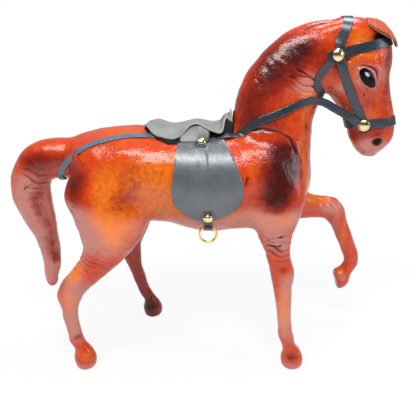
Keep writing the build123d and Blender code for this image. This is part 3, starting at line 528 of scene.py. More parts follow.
# Cuts and nicks on the right side only: line, width, depth
NICKS = [
    (((83, -8.2, 289.1), (93.2, -7.8, 292.3), (104.5, -6, 294.7)), 0.9, 0.9),
    (((38.4, -41.2, 171.3), (39.6, -40, 177.5)), 0.9, 0.5),
    (((49, -40.4, 167.8), (49.2, -40.4, 167.1)), 0.9, 0.4),
    (((89, -14.6, 216.5), (88.6, -14.8, 212.5)), 0.7, 0.4),
    (((133, -16, 240.5), (133.2, -16, 239.5)), 0.8, 0.4),
    (((76.7, -17.6, 260.4), (85, -16.6, 256.3), (94, -15.1, 250.2)), 0.7, 0.5),
    (((72.9, -18.1, 255.1), (84, -16.5, 250.5), (93.8, -14.5, 245.4)), 0.7, 0.5),
    (((58, -43, 125), (66, -44, 127.5), (76, -46, 129.5)), 0.8, 0.7),
    (((58, -43, 120.5), (66, -45, 120), (74, -46.5, 122)), 0.8, 0.5),
    (((-150.4, -13.4, 160.5), (-146, -14, 163), (-142, -14, 164)), 0.8, 0.5),
]
# Places with a finer mesh: face, throat, crest slit, shoulder seam, two nicks, forearm, gaskin, tail, knee
FINE_BOXES = [
    ((98, -40, 179.5), (170, 40, 293.5)), ((66, -30, 234), (98, 30, 264)), ((80, -16, 284), (98, 0, 297)),
    ((40, -40, 194), (84, -12, 217)), ((36, -46, 164), (52, -36, 180)), ((86, -18, 209), (92, -10, 220)),
    ((48, -62, 104), (86, -20, 134)), ((-112, -62, 94), (-72, -25, 124)),
    ((-162, -20, 155), (-126, 20, 182)), ((108, 10, 120), (140, 40, 145)),
]
# Right eye: x and z of its middle, tilt of its long axis in degrees, half axes of its ball, depth in the head
EYE_PLACE = (132.8, 253.5)
EYE_TILT = 41.0
EYE_BALL = (11.6, 6.8, 4.4)
EYE_SUNK = 0.9


def outer_island(mesh):
    """Keep only the outside skin of a remeshed solid."""
    shape = bmesh.new()
    shape.from_mesh(mesh)
    shape.verts.ensure_lookup_table()
    seed = max(shape.verts, key=lambda v: v.co.z)
    kept, heap = {seed}, [seed]
    while heap:
        for edge in heap.pop().link_edges:
            for vert in edge.verts:
                if vert not in kept:
                    kept.add(vert)
                    heap.append(vert)
    bmesh.ops.delete(shape, geom=[v for v in shape.verts if v not in kept], context="VERTS")
    shape.to_mesh(mesh)
    shape.free()


def refine(mesh, low, high):
    """Split the faces inside a box once, for finer shapes there."""
    low, high = Vector(low) * MM, Vector(high) * MM
    shape = bmesh.new()
    shape.from_mesh(mesh)
    chosen = set()
    for face in shape.faces:
        middle = face.calc_center_median()
        if all(low[k] < middle[k] < high[k] for k in range(3)):
            chosen.update(face.edges)
    bmesh.ops.subdivide_edges(shape, edges=list(chosen), cuts=1, use_grid_fill=True)
    bmesh.ops.triangulate(shape, faces=[face for face in shape.faces if len(face.verts) > 4])
    for face in shape.faces:
        face.smooth = True
    shape.to_mesh(mesh)
    shape.free()


def paint(piece, layers):
    """Store painted layers on a piece's points."""
    for name, value in layers.items():
        stored = piece.data.attributes.new(name, "FLOAT", "POINT")
        stored.data.foreach_set("value", np.clip(value, 0, 1).astype(np.float32))


class HORSE_OT_hide(Operator):
    """One moulded, dyed hide over the trunk, neck, head, tail, legs and hoofs"""

    bl_idname = "horse.hide"
    bl_label = "Hide"

    def execute(self, context):
        tone = settings()[0]
        skins = [f"{limb}_hide" for limb in LIMBS] + HOOFS
        solid = skins + [f"{limb}_core" for limb in LIMBS] + [f"{side}_eye" for side in SIDES]
        piece = new_piece("hide", copied(solid))
        modified(piece, "REMESH", mode="VOXEL", voxel_size=tone.cell, use_smooth_shade=True)
        outer_island(piece.data)
        blend_limbs(Clay(piece.data))
        for low, high in FINE_BOXES:
            refine(piece.data, low, high)
        clay = Clay(piece.data)
        model_body(clay, tone)
        model_face(clay)
        clear_cores(clay)
        press_tack(clay)
        clay.co[:, 2] = np.maximum(clay.co[:, 2], 0.0)
        clay.store()
        paint(piece, dye_layers(clay))
        piece.data.materials.append(hide_material("dyed_hide", tone))
        finished(piece, BODY, "hide", *skins)
        return {"FINISHED"}


def fold_height(clay, centre, radii, way, spacing, seed, mirror=True):
    """Share of a wrinkled place and the height of its folds, 0 in a crease and 1 on a fold."""
    co = clay.folded(mirror)
    share = clay.near(centre, radii, mirror)
    phase = co @ np.array(way) / spacing + 0.9 * wander(co, 13, seed)
    return share, np.abs(np.sin(math.pi * phase))


def blend_limbs(clay):
    """Blend the limbs into the trunk."""
    clay.relax(1.0, 4)
    weight = np.zeros(len(clay.co))
    for centre, reach in GROINS:
        weight = np.maximum(weight, clay.near(centre, (reach,) * 3))
    clay.fill(np.clip(weight * 1.6, 0, 1)[:, None], 70)
    clay.relax(1.0, 10)
    clay.store()


def model_body(clay, tone):
    """Muscles, tendons, seams, wrinkles and lumps."""
    clay.relax(1.0, 2)
    clay.swell(sum(height * clay.near(centre, radii) for centre, radii, height in MUSCLES))
    folds = sum(height * clay.along(line, width) for line, width, height in CORDS)
    for mirror, places in ((True, WRINKLES), (False, FAR_WRINKLES)):
        for *place, height, seed in places:
            share, fold = fold_height(clay, *place, seed, mirror)
            folds += share * height * (fold - 0.6)
    clay.swell(folds)
    lumps = tone.lumps / MM * (wander(clay.co, 16, 1) + 0.6 * wander(clay.co, 7, 2))
    hoof_top, groove = 18.5, 1.8
    standing = clay.near((130, 0, 20), (60, 90, 60)) < 0.2
    ring = np.exp(-(((clay.co[:, 2] - hoof_top) / groove) ** 2)) * standing
    clay.swell(lumps - 0.5 * ring)


def model_face(clay):
    """Cheeks, brow, nostrils, lips, eye sockets, cuts and nicks."""
    clay.swell(sum(height * clay.near(centre, radii) for centre, radii, height in FEATURES))
    clay.swell(sum(height * clay.along(line, width) for line, width, height in FACE_LINES))
    clay.swell(-sum(depth * clay.along(line, width, False) for line, width, depth in NICKS))
    place, long_way, cross_way, out = eye_frame()
    local = clay.folded() - place
    socket = sum((local @ way / half) ** 2 for way, half in ((long_way, 10.2), (cross_way, 5.8), (out, 12.0)))
    clay.swell(-4.5 * np.exp(-(socket**3)))


def eye_frame():
    """Middle, long axis, cross axis and outward direction of the right eye, in millimetres."""
    tree = surface_of(["head_hide"])
    probes, reach = 16, 10
    spots, ways = [], []
    for step in range(probes):
        angle = math.tau * step / probes
        start = Vector((EYE_PLACE[0] + reach * math.cos(angle), -80, EYE_PLACE[1] + reach * math.sin(angle)))
        spot, way, _, _ = tree.ray_cast(start, Vector((0, 1, 0)))
        spots.append(spot)
        ways.append(way if way.y < 0 else -way)
    out = sum(ways, Vector()).normalized()
    middle = sum(spots, Vector()) / len(spots)
    tilt = math.radians(EYE_TILT)
    long_way = Vector((math.cos(tilt), 0, -math.sin(tilt)))
    long_way = (long_way - out * long_way.dot(out)).normalized()
    cross_way = long_way.cross(out)
    if cross_way.z < 0:
        cross_way = -cross_way
    return np.array(middle), np.array(long_way), np.array(cross_way), np.array(out)


def clear_cores(clay):
    """Keep the hide outside the wooden cores."""
    cover = 0.3
    gaps = clay.gaps_to([f"{limb}_core" for limb in LIMBS], 2.2, 2.0)
    clay.swell(np.where(np.isnan(gaps), 0, np.maximum(gaps + cover, 0)))


def press_tack(clay):
    """Lay the hide just under the straps and flaps that rest on it."""
    under, rise = 0.15, 0.4
    names = [name for name in STRAPS if "tab" not in name] + [f"{side}_saddle_flap" for side in SIDES]
    gaps = clay.gaps_to(names, 5.0, 0.9)
    touched = ~np.isnan(gaps)
    move = np.where(touched, np.minimum(gaps - under, rise), 0)
    for _ in range(3):
        mean = clay.around(move)
        move = np.where(touched, np.minimum(move, mean * 0.5 + move * 0.5), mean * 0.8)
    clay.swell(move)


# Dye rubbed on by hand, alike on both sides: centre, radii, strength
BRIGHT = [
    ((-42, -40, 179.5), (32, 40, 20), 0.7), ((-25, -40, 165.5), (22, 30, 20), 0.75),
    ((-76, -41, 163.5), (11, 20, 22), 1), ((-62, -12, 207.5), (32, 20, 9), 0.55),
    ((-68, -42, 136), (15, 22, 24), 0.85), ((-106, -46, 100), (11, 14, 11), 1.2),
    ((-112, -46, 70), (9, 12, 14), 0.7), ((-101, -50, 15), (7, 8, 5), 0.8),
    ((-20, -40, 148.5), (40, 30, 12), 0.5), ((30, -40, 142), (30, 20, 9), 0.5),
    ((46, -36, 181.5), (9, 12, 18), 0.5), ((85, -24, 191.5), (4.5, 12, 15), 1),
    ((89, -27, 169.5), (4, 12, 16), 0.7), ((70, -40, 142), (16, 20, 9), 0.55),
    ((72, -46, 62), (12, 16, 32), 0.65), ((112, -24, 140), (18, 14, 8), 1.1),
    ((141, -24, 95), (4, 12, 26), 0.7), ((138, -22, 66), (8, 12, 9), 1.2),
    ((88, -15, 231.5), (9, 15, 24), 0.6), ((126, -15, 280.5), (14, 15, 11), 0.75),
    ((118, -16, 256.5), (9, 10, 12), 0.6), ((134, -17, 271.5), (10, 10, 6), 0.7),
    ((140, -14, 221.5), (8, 10, 10), 0.6),
]
DARK = [
    ((66, -36, 177.5), (16, 22, 23), 1.2), ((76, -34, 188.5), (9, 15, 13), 0.9),
    ((62, -38, 159.5), (13, 15, 12), 0.7), ((70, -30, 199.5), (14, 14, 8), 0.45),
    ((-100, -33, 170.5), (13, 20, 18), 0.85), ((-56, -42, 162), (12, 14, 16), 0.32),
    ((-68, -44, 156), (12, 12, 8), 0.25), ((-50, -42, 183.5), (10, 12, 10), 0.25),
    ((-70, -20, 201.5), (12, 12, 6), 0.3), ((-126, -12, 185.5), (22, 20, 9), 0.62),
    ((-143, -11, 181), (10, 14, 10), 0.42), ((56, -14, 259), (15, 20, 26), 0.85),
    ((38, -18, 231.5), (15, 20, 22), 0.62), ((76, -18, 264.5), (12, 14, 15), 0.6),
    ((87, -16, 276), (11, 14, 9), 0.5), ((52, -20, 217.5), (18, 16, 9), 0.5),
    ((98, -14, 263.5), (7, 10, 12), 0.4), ((72, -14, 277), (20, 16, 14), 0.32),
    ((-119, -45, 85.5), (6, 9, 8), 0.45), ((-107, -48, 33.5), (5, 8, 3), 0.42),
    ((-84, -45, 107), (7, 10, 6), 0.4), ((71, -47, 98.5), (6, 8, 4), 0.28),
    ((83, -50, 14), (6, 8, 6), 0.55), ((64, -44, 116), (10, 12, 6), 0.35),
    ((126, -22, 104), (4, 12, 20), 0.5), ((110, -25, 147), (14, 12, 4), 0.35),
    # (152, -5, 237.5) is painted shade along the nose's front edge
    ((152, -5, 237.5), (5.5, 9, 26), 0.7), ((138, -16, 233.5), (8, 8, 8), 0.38),
    ((127, -12, 204.5), (10, 10, 8), 0.9), ((146, -12, 208.5), (9, 8, 4), 0.55),
    # (150, -8, 268) is the ear's painted shadow on the front of the forehead
    ((131, -18, 255.5), (13, 8, 10), 0.2), ((150, -8, 268), (6, 14, 12), 0.45),
]
BARE = [
    ((-146, -10, 133.5), (21, 30, 46), 1), ((-148, -12, 159.5), (14, 20, 13), 0.5),
    ((-138, -8, 84), (16, 18, 24), 1), ((-88, -40, 132), (30, 26, 22), 1.1),
    ((-104, -33, 146), (9, 16, 14), 0.7), ((0, -30, 135.5), (60, 30, 10), 0.7),
    ((-106, -47, 75), (16, 18, 40), 0.8), ((-110, -48, 42), (11, 14, 14), 0.5),
    ((-60, -46, 111.5), (16, 16, 14), 0.35), ((70, -40, 143), (20, 24, 10), 0.95),
    ((66, -44, 121), (14, 18, 11), 0.95), ((77, -47, 86), (8, 12, 12), 0.6),
    ((75, -48, 52), (14, 18, 34), 0.85), ((40, -38, 143.5), (22, 20, 9), 0.6),
    ((99, -12, 183.5), (11, 18, 42), 1), ((122, -26, 131), (16, 14, 7), 0.9),
    ((130, -24, 100), (10, 12, 28), 0.65), ((144, -22, 57), (7, 12, 8), 0.7),
    ((86, -16, 247.5), (10, 12, 12), 0.95), ((70, -17, 239.5), (8, 12, 22), 0.35),
    ((55, -28, 201.5), (12, 12, 5), 0.3), ((96, -8, 291.5), (12, 6, 4), 0.45),
    ((114, -14, 244.5), (8, 10, 8), 0.6), ((134, -17, 253), (12, 8, 11), 0.65),
    # (150, -8, 262) greys the same painted ear shadow on the forehead
    ((150, -8, 262), (7, 14, 18), 0.8), ((147, -9, 195.5), (14, 18, 10), 1.2),
    ((138, -4, 190.5), (12, 12, 7), 1),
]
TAIL_STRIPE = (
    (-136, -12, 165.5), (-141.9, -11.7, 151.4), (-138.4, -10, 130.6), (-135.1, -7.2, 103.4), (-133, -5, 91.5),
)
# Dark places: centre, radii
FAR_HIND_LEG = ((-62, 40, 65), (22, 26, 60))
FAR_HIND_HOOF = ((-55, 38, 12), (16, 18, 16))
# Painted shade in the nostril's hollow
NOSTRIL_SHADE = ((150.3, -12.2, 200.8), (6, 9, 5))
# Painted shadow of the ear on the forehead
EAR_SHADOW = ((141, -13, 282), (9, 9, 6))
RAISED_SOLE = ((133, 22, 57), (4, 14, 9))


def dye_layers(clay):
    """Painted shares of bright, dark and bare hide and of nicks; the dark and nick layers also carry painted
    shade.
    """
    bright, dark, bare = (
        sum(strength * clay.near(centre, radii) for centre, radii, strength in spots)
        for spots in (BRIGHT, DARK, BARE)
    )
    dark += 0.52 * clay.along(TAIL_STRIPE, 7.5, False) * (0.85 + 0.5 * wander(clay.co, 17, 12))
    far_hind = clay.near(*FAR_HIND_LEG, False)
    dark += 0.55 * far_hind + 0.9 * clay.near(*FAR_HIND_HOOF, False)
    bare *= 1 - 0.7 * far_hind
    bare += 0.9 * np.exp(-((clay.co[:, 2] / 8) ** 2))
    nick_and_shade = sum(1.5 * clay.along(line, 0.95 * width, False) for line, width, _ in NICKS)
    nick_and_shade += 1.3 * clay.along(SEAM, 1.0)
    nick_and_shade += np.clip(3 * clay.near(*NOSTRIL_SHADE) - 1.2, 0, 1)
    nick_and_shade += np.clip(2 * clay.near(*EAR_SHADOW) - 0.6, 0, 1)
    nick_and_shade += 0.55 * clay.along(MOUTH, 0.9) + 0.45 * clay.near(*RAISED_SOLE, False)
    # Painted shade in the creases of the first five wrinkled places
    for *place, _, seed in SHADED_CREASES:
        share, fold = fold_height(clay, *place, seed)
        nick_and_shade += 0.35 * share * np.clip(1 - fold / 0.25, 0, 1)
        dark += 0.5 * share * np.clip(1 - fold / 0.6, 0, 1)
    return {"bright": bright, "dark": dark, "bare": bare, "nick_and_shade": nick_and_shade}


class HORSE_OT_straps(Operator):
    """Bridle, reins, crupper, saddle band and stirrup tabs, with rounded edges"""

    bl_idname = "horse.straps"
    bl_label = "Straps"

    def execute(self, context):
        tack = settings()[1]
        leather = tack_material("strap_leather", tack.strap, rough=0.3, shine=0.75)
        # The crupper's paler leather is a painted sheen from the light above the croup
        sheen_leather = tack_material("crupper_sheen_leather", [4.6 * c for c in tack.strap], rough=0.34, shine=0.9)
        curved = ("crown_strap", "browband", "throatlatch", "noseband", "crupper_strap")
        bevel = {"width": tack.rounding, "segments": 2, "limit_method": "ANGLE", "angle_limit": 0.87}
        for name in STRAPS:
            piece = new_piece(name + "_leather", copied([name]), sheen_leather if name == "crupper_strap" else leather)
            if name.endswith("tab"):
                modified(piece, "BEVEL", **bevel)
            else:
                dense(piece.data, 1.4)
                clay = Clay(piece.data)
                clay.relax(1.0, 8)
                clay.store()
            smoothed(piece.data, angle=50)
            if name in curved:
                soft_shading(piece.data, reach=4.5)
            finished(piece, BODY, "tack_leather", name)
        return {"FINISHED"}


def dense(mesh, limit):
    """Split long edges until none is much longer than a limit in millimetres."""
    shape = bmesh.new()
    shape.from_mesh(mesh)
    bmesh.ops.triangulate(shape, faces=shape.faces)
    for _ in range(6):
        lengthy = [edge for edge in shape.edges if edge.calc_length() > 1.4 * limit * MM]
        if not lengthy:
            break
        bmesh.ops.subdivide_edges(shape, edges=lengthy, cuts=1)
        bmesh.ops.triangulate(shape, faces=[face for face in shape.faces if len(face.verts) > 3])
    bmesh.ops.dissolve_degenerate(shape, dist=2e-5, edges=shape.edges)
    shape.to_mesh(mesh)
    shape.free()


def soft_shading(mesh, reach):
    """Shade a strap by the mean direction of its faces within a reach, so that sections run together."""
    same_side = 0.75
    tree = KDTree(len(mesh.polygons))
    for face in mesh.polygons:
        tree.insert(face.center / MM, face.index)
    tree.balance()
    ways = np.array([face.normal for face in mesh.polygons])
    areas = np.array([face.area for face in mesh.polygons])

    def mean_way(face):
        """Mean direction of the faces round one face that look the same way."""
        chosen = np.array([hit[1] for hit in tree.find_range(face.center / MM, reach)])
        alike = chosen[ways[chosen] @ ways[face.index] > same_side]
        total = (ways[alike] * areas[alike, None]).sum(axis=0)
        return total / max(np.linalg.norm(total), 1e-9) if len(alike) else ways[face.index]

    soft = np.array([mean_way(face) for face in mesh.polygons])
    corners = [[] for _ in mesh.vertices]
    for face in mesh.polygons:
        for point in face.vertices:
            corners[point].append(face.index)
    shown = [Vector((0, 0, 0)) for _ in mesh.loops]
    for face in mesh.polygons:
        for loop, point in zip(face.loop_indices, face.vertices):
            alike = [k for k in corners[point] if ways[k] @ ways[face.index] > same_side] or [face.index]
            shown[loop] = Vector(soft[alike].sum(axis=0)).normalized()
    mesh.normals_split_custom_set(shown)


def edge_faces(mesh, thick, edge_index, under_index=0):
    """Give a sheet's cut edge and its underside their own materials."""
    points = [v.co / MM for v in mesh.vertices]
    tree = BVHTree.FromPolygons(points, [p.vertices for p in mesh.polygons])
    for face in mesh.polygons:
        way = face.normal
        hit = tree.ray_cast(face.center / MM - way * 0.02, -way, 1.35 * thick)[0]
        if hit is None:
            face.material_index = edge_index
        elif way.z < 0:
            face.material_index = under_index


def smoothed(mesh, angle=40):
    """Shade a mesh smooth up to an angle in degrees."""
    mesh.polygons.foreach_set("use_smooth", [True] * len(mesh.polygons))
    mesh.set_sharp_from_angle(angle=math.radians(angle))


def flap_ridge(mesh):
    """Press the stirrup strap behind a flap through it, from its upper to its lower rivet."""
    upper, drop, start, lean, half, edge = 202.5, 60, 2.7, 5.4, 4.4, 1.3
    crease_x, crease_z, barrel_z = -15, 154.5, 164.5
    for vertex in mesh.vertices:
        x, y, z = vertex.co / MM
        middle = start + (upper - z) / drop * lean
        share = min(max((half - abs(x - middle)) / edge, 0), 1)
        share *= share * (3 - 2 * share)
        along = x - crease_x
        crease = math.exp(-((along / 6) ** 2) - ((z - crease_z - 0.25 * along) / 1.6) ** 2)
        out = Vector((0, y, z - barrel_z)).normalized()
        vertex.co += out * (0.45 * share - 0.35 * crease) * MM


# Half width of the lining under the seat, along the horse
LINING = (
    (-45, 9), (-41, 17), (-34, 23.5), (-24, 27.5), (-16, 27), (-8, 26),
    (8, 25.6), (11, 20), (18, 18.5), (24, 18), (30, 16),
)
# Share of the gap under the seat that the lining fills, along the horse
PANEL = ((-17, 0), (-13, 1), (8, 1), (11, 0), (12, 0), (17, 1))
# Stretch of the lining that shows as a grey panel
PANEL_REACH = (-14, 9)


def lining_mesh(columns=41):
    """Sheet that lies on the back, the band and the flaps and shows below the seat."""
    below = ["saddle_band", *(f"{side}_saddle_flap" for side in SIDES)]
    tree = surface_of(below, [bpy.data.objects["hide"].data])
    seat = surface_of(["saddle_seat"])
    up, above, lift, slack = Vector((0, 0, 1)), 300, 0.3, 1.4
    places = np.arange(LINING[0][0], LINING[-1][0] + 0.1, 1.0)
    halves, fills = (np.interp(places, *zip(*table)) for table in (LINING, PANEL))
    points = []
    for x, half, fill in zip(places, halves, fills):
        for share in np.linspace(-1, 1, columns):
            spot = tree.ray_cast(Vector((x, half * share, above)), -up)[0]
            gap = seat.ray_cast(spot, up, 30)[3] or 0.0
            points.append((x, half * share, spot.z + lift + max(gap - slack, 0.0) * fill))
    return mesh_of(points, grid_faces(len(places), columns))


class HORSE_OT_saddle(Operator):
    """Saddle seat, its lining and the flaps"""

    bl_idname = "horse.saddle"
    bl_label = "Saddle"

    def execute(self, context):
        tack = settings()[1]
        flap = tack_material("flap_sheen_leather", tack.flap, rough=0.3, shine=0.9)
        seat = tack_material("seat_leather", tack.seat, rough=0.62)
        under = tack_material("seat_underside", (0.009, 0.009, 0.010), rough=0.7, shine=0.15)
        rim = edge_material("seat_edge", tack.edge)
        dark_rim = edge_material("flap_edge", tack.flap)
        piece = new_piece("saddle_seat_leather", copied(["saddle_seat"]), seat, rim, under)
        dense(piece.data, 2.0)
        # Downward faces keep the black and the rest take the grey: a painted sheen on top of one black
        # leather
        edge_faces(piece.data, thick=1.7, edge_index=1, under_index=2)
        smoothed(piece.data)
        finished(piece, BODY, "seat_leather", "saddle_seat")
        piece = new_piece("saddle_lining", lining_mesh(), under, seat)
        outward(piece.data)
        for face in piece.data.polygons:
            # The panel takes the seat's grey, the same painted sheen
            face.material_index = int(PANEL_REACH[0] < face.center.x / MM < PANEL_REACH[1])
        modified(piece, "SOLIDIFY", thickness=0.0006, offset=1)
        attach(piece, BODY)
        for side in SIDES:
            name = f"{side}_saddle_flap"
            piece = new_piece(name + "_leather", copied([name]), flap, dark_rim)
            dense(piece.data, 1.4)
            edge_faces(piece.data, thick=1.4, edge_index=1)
            flap_ridge(piece.data)
            smoothed(piece.data)
            finished(piece, BODY, "tack_leather", name)
        return {"FINISHED"}


def ball_points(place, axes, halves, rows=49, columns=64):
    """Rings of points round an ellipsoid on three axes, and its faces."""
    points = []
    for lift in np.arange(rows) * math.pi / (rows - 1):
        for turn in np.arange(columns) * math.tau / columns:
            parts = (math.sin(lift) * math.cos(turn), math.sin(lift) * math.sin(turn), math.cos(lift))
            points.append(place + sum(axis * half * part for axis, half, part in zip(axes, halves, parts)))
    return points, grid_faces(rows, columns, True)


# Rings of a lid from the ball outwards: offset, height of the upper lid, height of the lower lid, share of
# painted crease shade
LID_RINGS = [
    (-0.6, -0.5, -0.5, 1.0), (-0.15, 0.3, 0.2, 0.9), (0.35, 0.9, 0.6, 0.2), (1.0, 1.3, 0.8, 0.0),
    (1.6, 1.0, 0.6, 0.5), (2.0, 0.0, 0.35, 1.0), (2.4, 0.5, 0.2, 0.6), (3.2, 1.4, 0.1, 0.0),
    (4.3, 0.7, 0.0, 0.0), (5.6, -0.6, -0.6, 0.0),
]
# Opening of the right eye, round at the back and pointed at the front: angle, radius
LID_TURNS = (-1, 5, 20, 43, 92, 128, 157, 182, 198, 228, 277, 320, 342)
LID_REACH = (11.0, 9.4, 6.9, 5.2, 4.8, 5.9, 8.2, 8.7, 7.4, 5.0, 4.5, 6.2, 9.2)
# Painted highlight on the glass, along its long and its cross axis: place, half size
PAINTED_GLINT = ((-2.2, 2.3), (1.6, 1.2))
# Share of each dye on an ear
EAR_DYE = {"bare": 0.5, "bright": 0.4, "dark": 0.3}


def lid_points(tree, columns=90):
    """Folded lids round the right eye, laid on hide and ball: points, faces, shares of painted crease shade
    and outer shares.
    """
    place, long_way, cross_way, out = eye_frame()
    turns = np.arange(columns) * math.tau / columns
    reach = np.interp(np.degrees(turns), LID_TURNS, LID_REACH, period=360)
    for _ in range(2):
        reach = (np.roll(reach, 1) + 2 * reach + np.roll(reach, -1)) / 4
    brow, above = math.radians(65), 15
    points, crease_shade, outer = [], [], []
    for ring, (offset, upper, lower, crease) in enumerate(LID_RINGS):
        for turn, radius in zip(turns, reach):
            broad = 1 + 0.8 * max(0.0, math.cos(turn - brow)) ** 2
            far = radius + (offset * broad if offset > 0 else offset)
            u, v = far * math.cos(turn), far * math.sin(turn)
            share = 0.5 + 0.5 * math.sin(turn)
            spot = place + long_way * u + cross_way * v
            away = tree.ray_cast(Vector(spot + out * above), Vector(-out), 2 * above)[3]
            base = 0.0 if away is None else above - away
            inside = 1 - (u / EYE_BALL[0]) ** 2 - (v / EYE_BALL[1]) ** 2
            if inside > 0:
                base = max(base, EYE_BALL[2] * math.sqrt(inside) - EYE_SUNK)
            points.append(spot + out * (base + lower + (upper - lower) * share))
            crease_shade.append(crease * (share**2 if ring > 3 else 1))
            outer.append(max(ring - 5, 0) / 4)
    return points, grid_faces(len(LID_RINGS), columns, True), np.array(crease_shade), np.array(outer)


def on_side(points, faces, sign):
    """Mesh of the right side's points, or of their mirror image."""
    turned = faces if sign > 0 else [face[::-1] for face in faces]
    mesh = mesh_of([(x, y * sign, z) for x, y, z in points], turned)
    outward(mesh)
    return mesh


def ear_fold_shade(co):
    """Height below which an ear's lower edge is painted dark, as painted shade inside its fold."""
    x = co[:, 0]
    return 292.8 - 0.51 * (x - 132.5) - 0.68 * np.maximum(x - 147.4, 0)


class HORSE_OT_head_trim(Operator):
    """Ears, glass eyes and folded eyelids"""

    bl_idname = "horse.head_trim"
    bl_label = "Head trim"

    def execute(self, context):
        tone = settings()[0]
        skin = hide_material("trim_hide", tone)
        rim = edge_material("ear_edge", (0.50, 0.27, 0.17))
        glass = glass_eye_material()
        place, *axes = eye_frame()
        *lids, crease_shade, outer = lid_points(surface_of([], [bpy.data.objects["hide"].data]))
        ball = ball_points(place - axes[2] * EYE_SUNK, axes, EYE_BALL)
        # Lids of pinkish bare hide, painted darker in their creases as painted shade
        lid = {"bright": 0.0, "bare": 0.8 - 0.3 * crease_shade, "dark": 0.1 + 0.6 * crease_shade, "nick_and_shade": 0.7 * crease_shade}
        for side, sign in SIDES.items():
            piece = new_piece(f"{side}_eyelids", on_side(*lids, sign), skin)
            layers = dye_layers(Clay(piece.data))
            paint(piece, {name: layers[name] * outer + lid[name] * (1 - outer) for name in lid})
            finished(piece, BODY, "trim_hide", f"{side}_eyelid")
            piece = new_piece(f"{side}_glass_eye", on_side(*ball, sign), glass)
            local = Clay(piece.data).co * (1, sign, 1) - place
            # Painted highlight on the glass
            away = sum(((local @ way - middle) / half) ** 2 for way, (middle, half) in zip(axes, PAINTED_GLINT))
            paint(piece, {"painted_glint": np.clip(2 - 1.6 * away, 0, 1) * (local @ axes[2] > 0)})
            finished(piece, BODY, "eye_glass", f"{side}_eye")
            piece = new_piece(f"{side}_ear_leather", copied([f"{side}_ear"]), skin, rim)
            dense(piece.data, 1.2)
            edge_faces(piece.data, thick=1.6, edge_index=1)
            shape_ear(piece.data)
            smoothed(piece.data)
            co = Clay(piece.data).co
            layers = {name: np.full(len(co), share) for name, share in EAR_DYE.items()}
            # Painted shade along the ear's lower edge, inside its fold
            paint(piece, layers | {"nick_and_shade": (ear_fold_shade(co) - co[:, 2]) / 1.2})
            finished(piece, BODY, "trim_hide", f"{side}_ear")
        return {"FINISHED"}


def outward(mesh):
    """Turn all faces of a closed or domed mesh outwards."""
    shape = bmesh.new()
    shape.from_mesh(mesh)
    bmesh.ops.remove_doubles(shape, verts=shape.verts, dist=1e-7)
    bmesh.ops.recalc_face_normals(shape, faces=shape.faces)
    shape.to_mesh(mesh)
    shape.free()


def shape_ear(mesh):
    """Crumple an ear's leather a little."""
    for vertex in mesh.vertices:
        place = vertex.co / MM
        vertex.co.z += 0.35 * noise.noise(place / 6.0) * MM
        vertex.co.x += 0.25 * noise.noise(place / 5.0 + Vector((9, 3, 1))) * MM


class HORSE_OT_brass(Operator):
    """Domed rivets and stirrup rings"""

    bl_idname = "horse.brass"
    bl_label = "Brass"

    def execute(self, context):
        brass = settings()[2]
        pale = brass_material("rivet_brass", brass.rivet, rough=0.16)
        yellow = brass_material("ring_brass", brass.ring, rough=0.2)
        fittings = {f"{place}_rivets": (BODY, pale) for place in ("bridle", "saddle", "stirrup")}
        fittings |= {f"{side}_stirrup_ring": (f"{side}_stirrup", yellow) for side in SIDES}
        for name, (body, material) in fittings.items():
            piece = new_piece(name + "_brass", copied([name]), material)
            smoothed(piece.data)
            finished(piece, body, "brass", name)
        return {"FINISHED"}


class HORSE_OT_cores(Operator):
    """Wooden cores and dowels inside the hide"""

    bl_idname = "horse.cores"
    bl_label = "Cores"

    def execute(self, context):
        wood = wood_material()
        for name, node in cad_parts.items():
            if name.endswith("_core") or "dowel" in name:
                node.data.materials.clear()
                node.data.materials.append(wood)
        return {"FINISHED"}


# Soft boxes: name, place, size, share of the key light's power, tint
LIGHTS = (
    ("key", (-0.15, -0.50, 1.0), (0.9, 0.24), 1.0, (1.0, 0.99, 0.97)),
    ("top", (0.25, 0.15, 1.1), (0.5, 0.2), 0.5, (0.78, 0.90, 1.0)),
    ("front", (1.0, -0.35, 0.5), (0.3, 0.4), 0.18, (0.92, 0.96, 1.0)),
)
LIT_POINT = Vector((0, 0, 0.15))
SEEN_POINT = Vector((0.008125, 0, 0.13795))
FLOOR_HALF = 3.0


class HORSE_OT_stage(Operator):
    """White floor, soft light and the camera"""

    bl_idname = "horse.stage"
    bl_label = "Stage"

    def execute(self, context):
        stage = settings()[3]
        scene = context.scene
        scene.view_settings.view_transform = "Standard"
        floor_mesh = bpy.data.meshes.new("floor")
        corners = [(x * FLOOR_HALF, y * FLOOR_HALF, 0) for x, y in ((-1, -1), (1, -1), (1, 1), (-1, 1))]
        floor_mesh.from_pydata(corners, [], [(0, 1, 2, 3)])
        floor = bpy.data.objects.new("floor", floor_mesh)
        floor.location.z = -0.0002
        scene.collection.objects.link(floor)
        floor_mesh.materials.append(floor_material())
        light_world(scene, stage.sky)
        for name, place, size, share, tint in LIGHTS:
            soft_light(name, place, size, stage.key * share, tint)
        camera = bpy.data.objects.new("camera", bpy.data.cameras.new("camera"))
        scene.collection.objects.link(camera)
        back = Vector((0, -math.cos(stage.elevation), math.sin(stage.elevation)))
        camera.location = SEEN_POINT + back * stage.distance
        camera.rotation_euler = (-back).to_track_quat("-Z", "Y").to_euler()
        camera.data.lens = stage.lens
        camera.data.sensor_width = 36.0
        scene.camera = camera
        return {"FINISHED"}


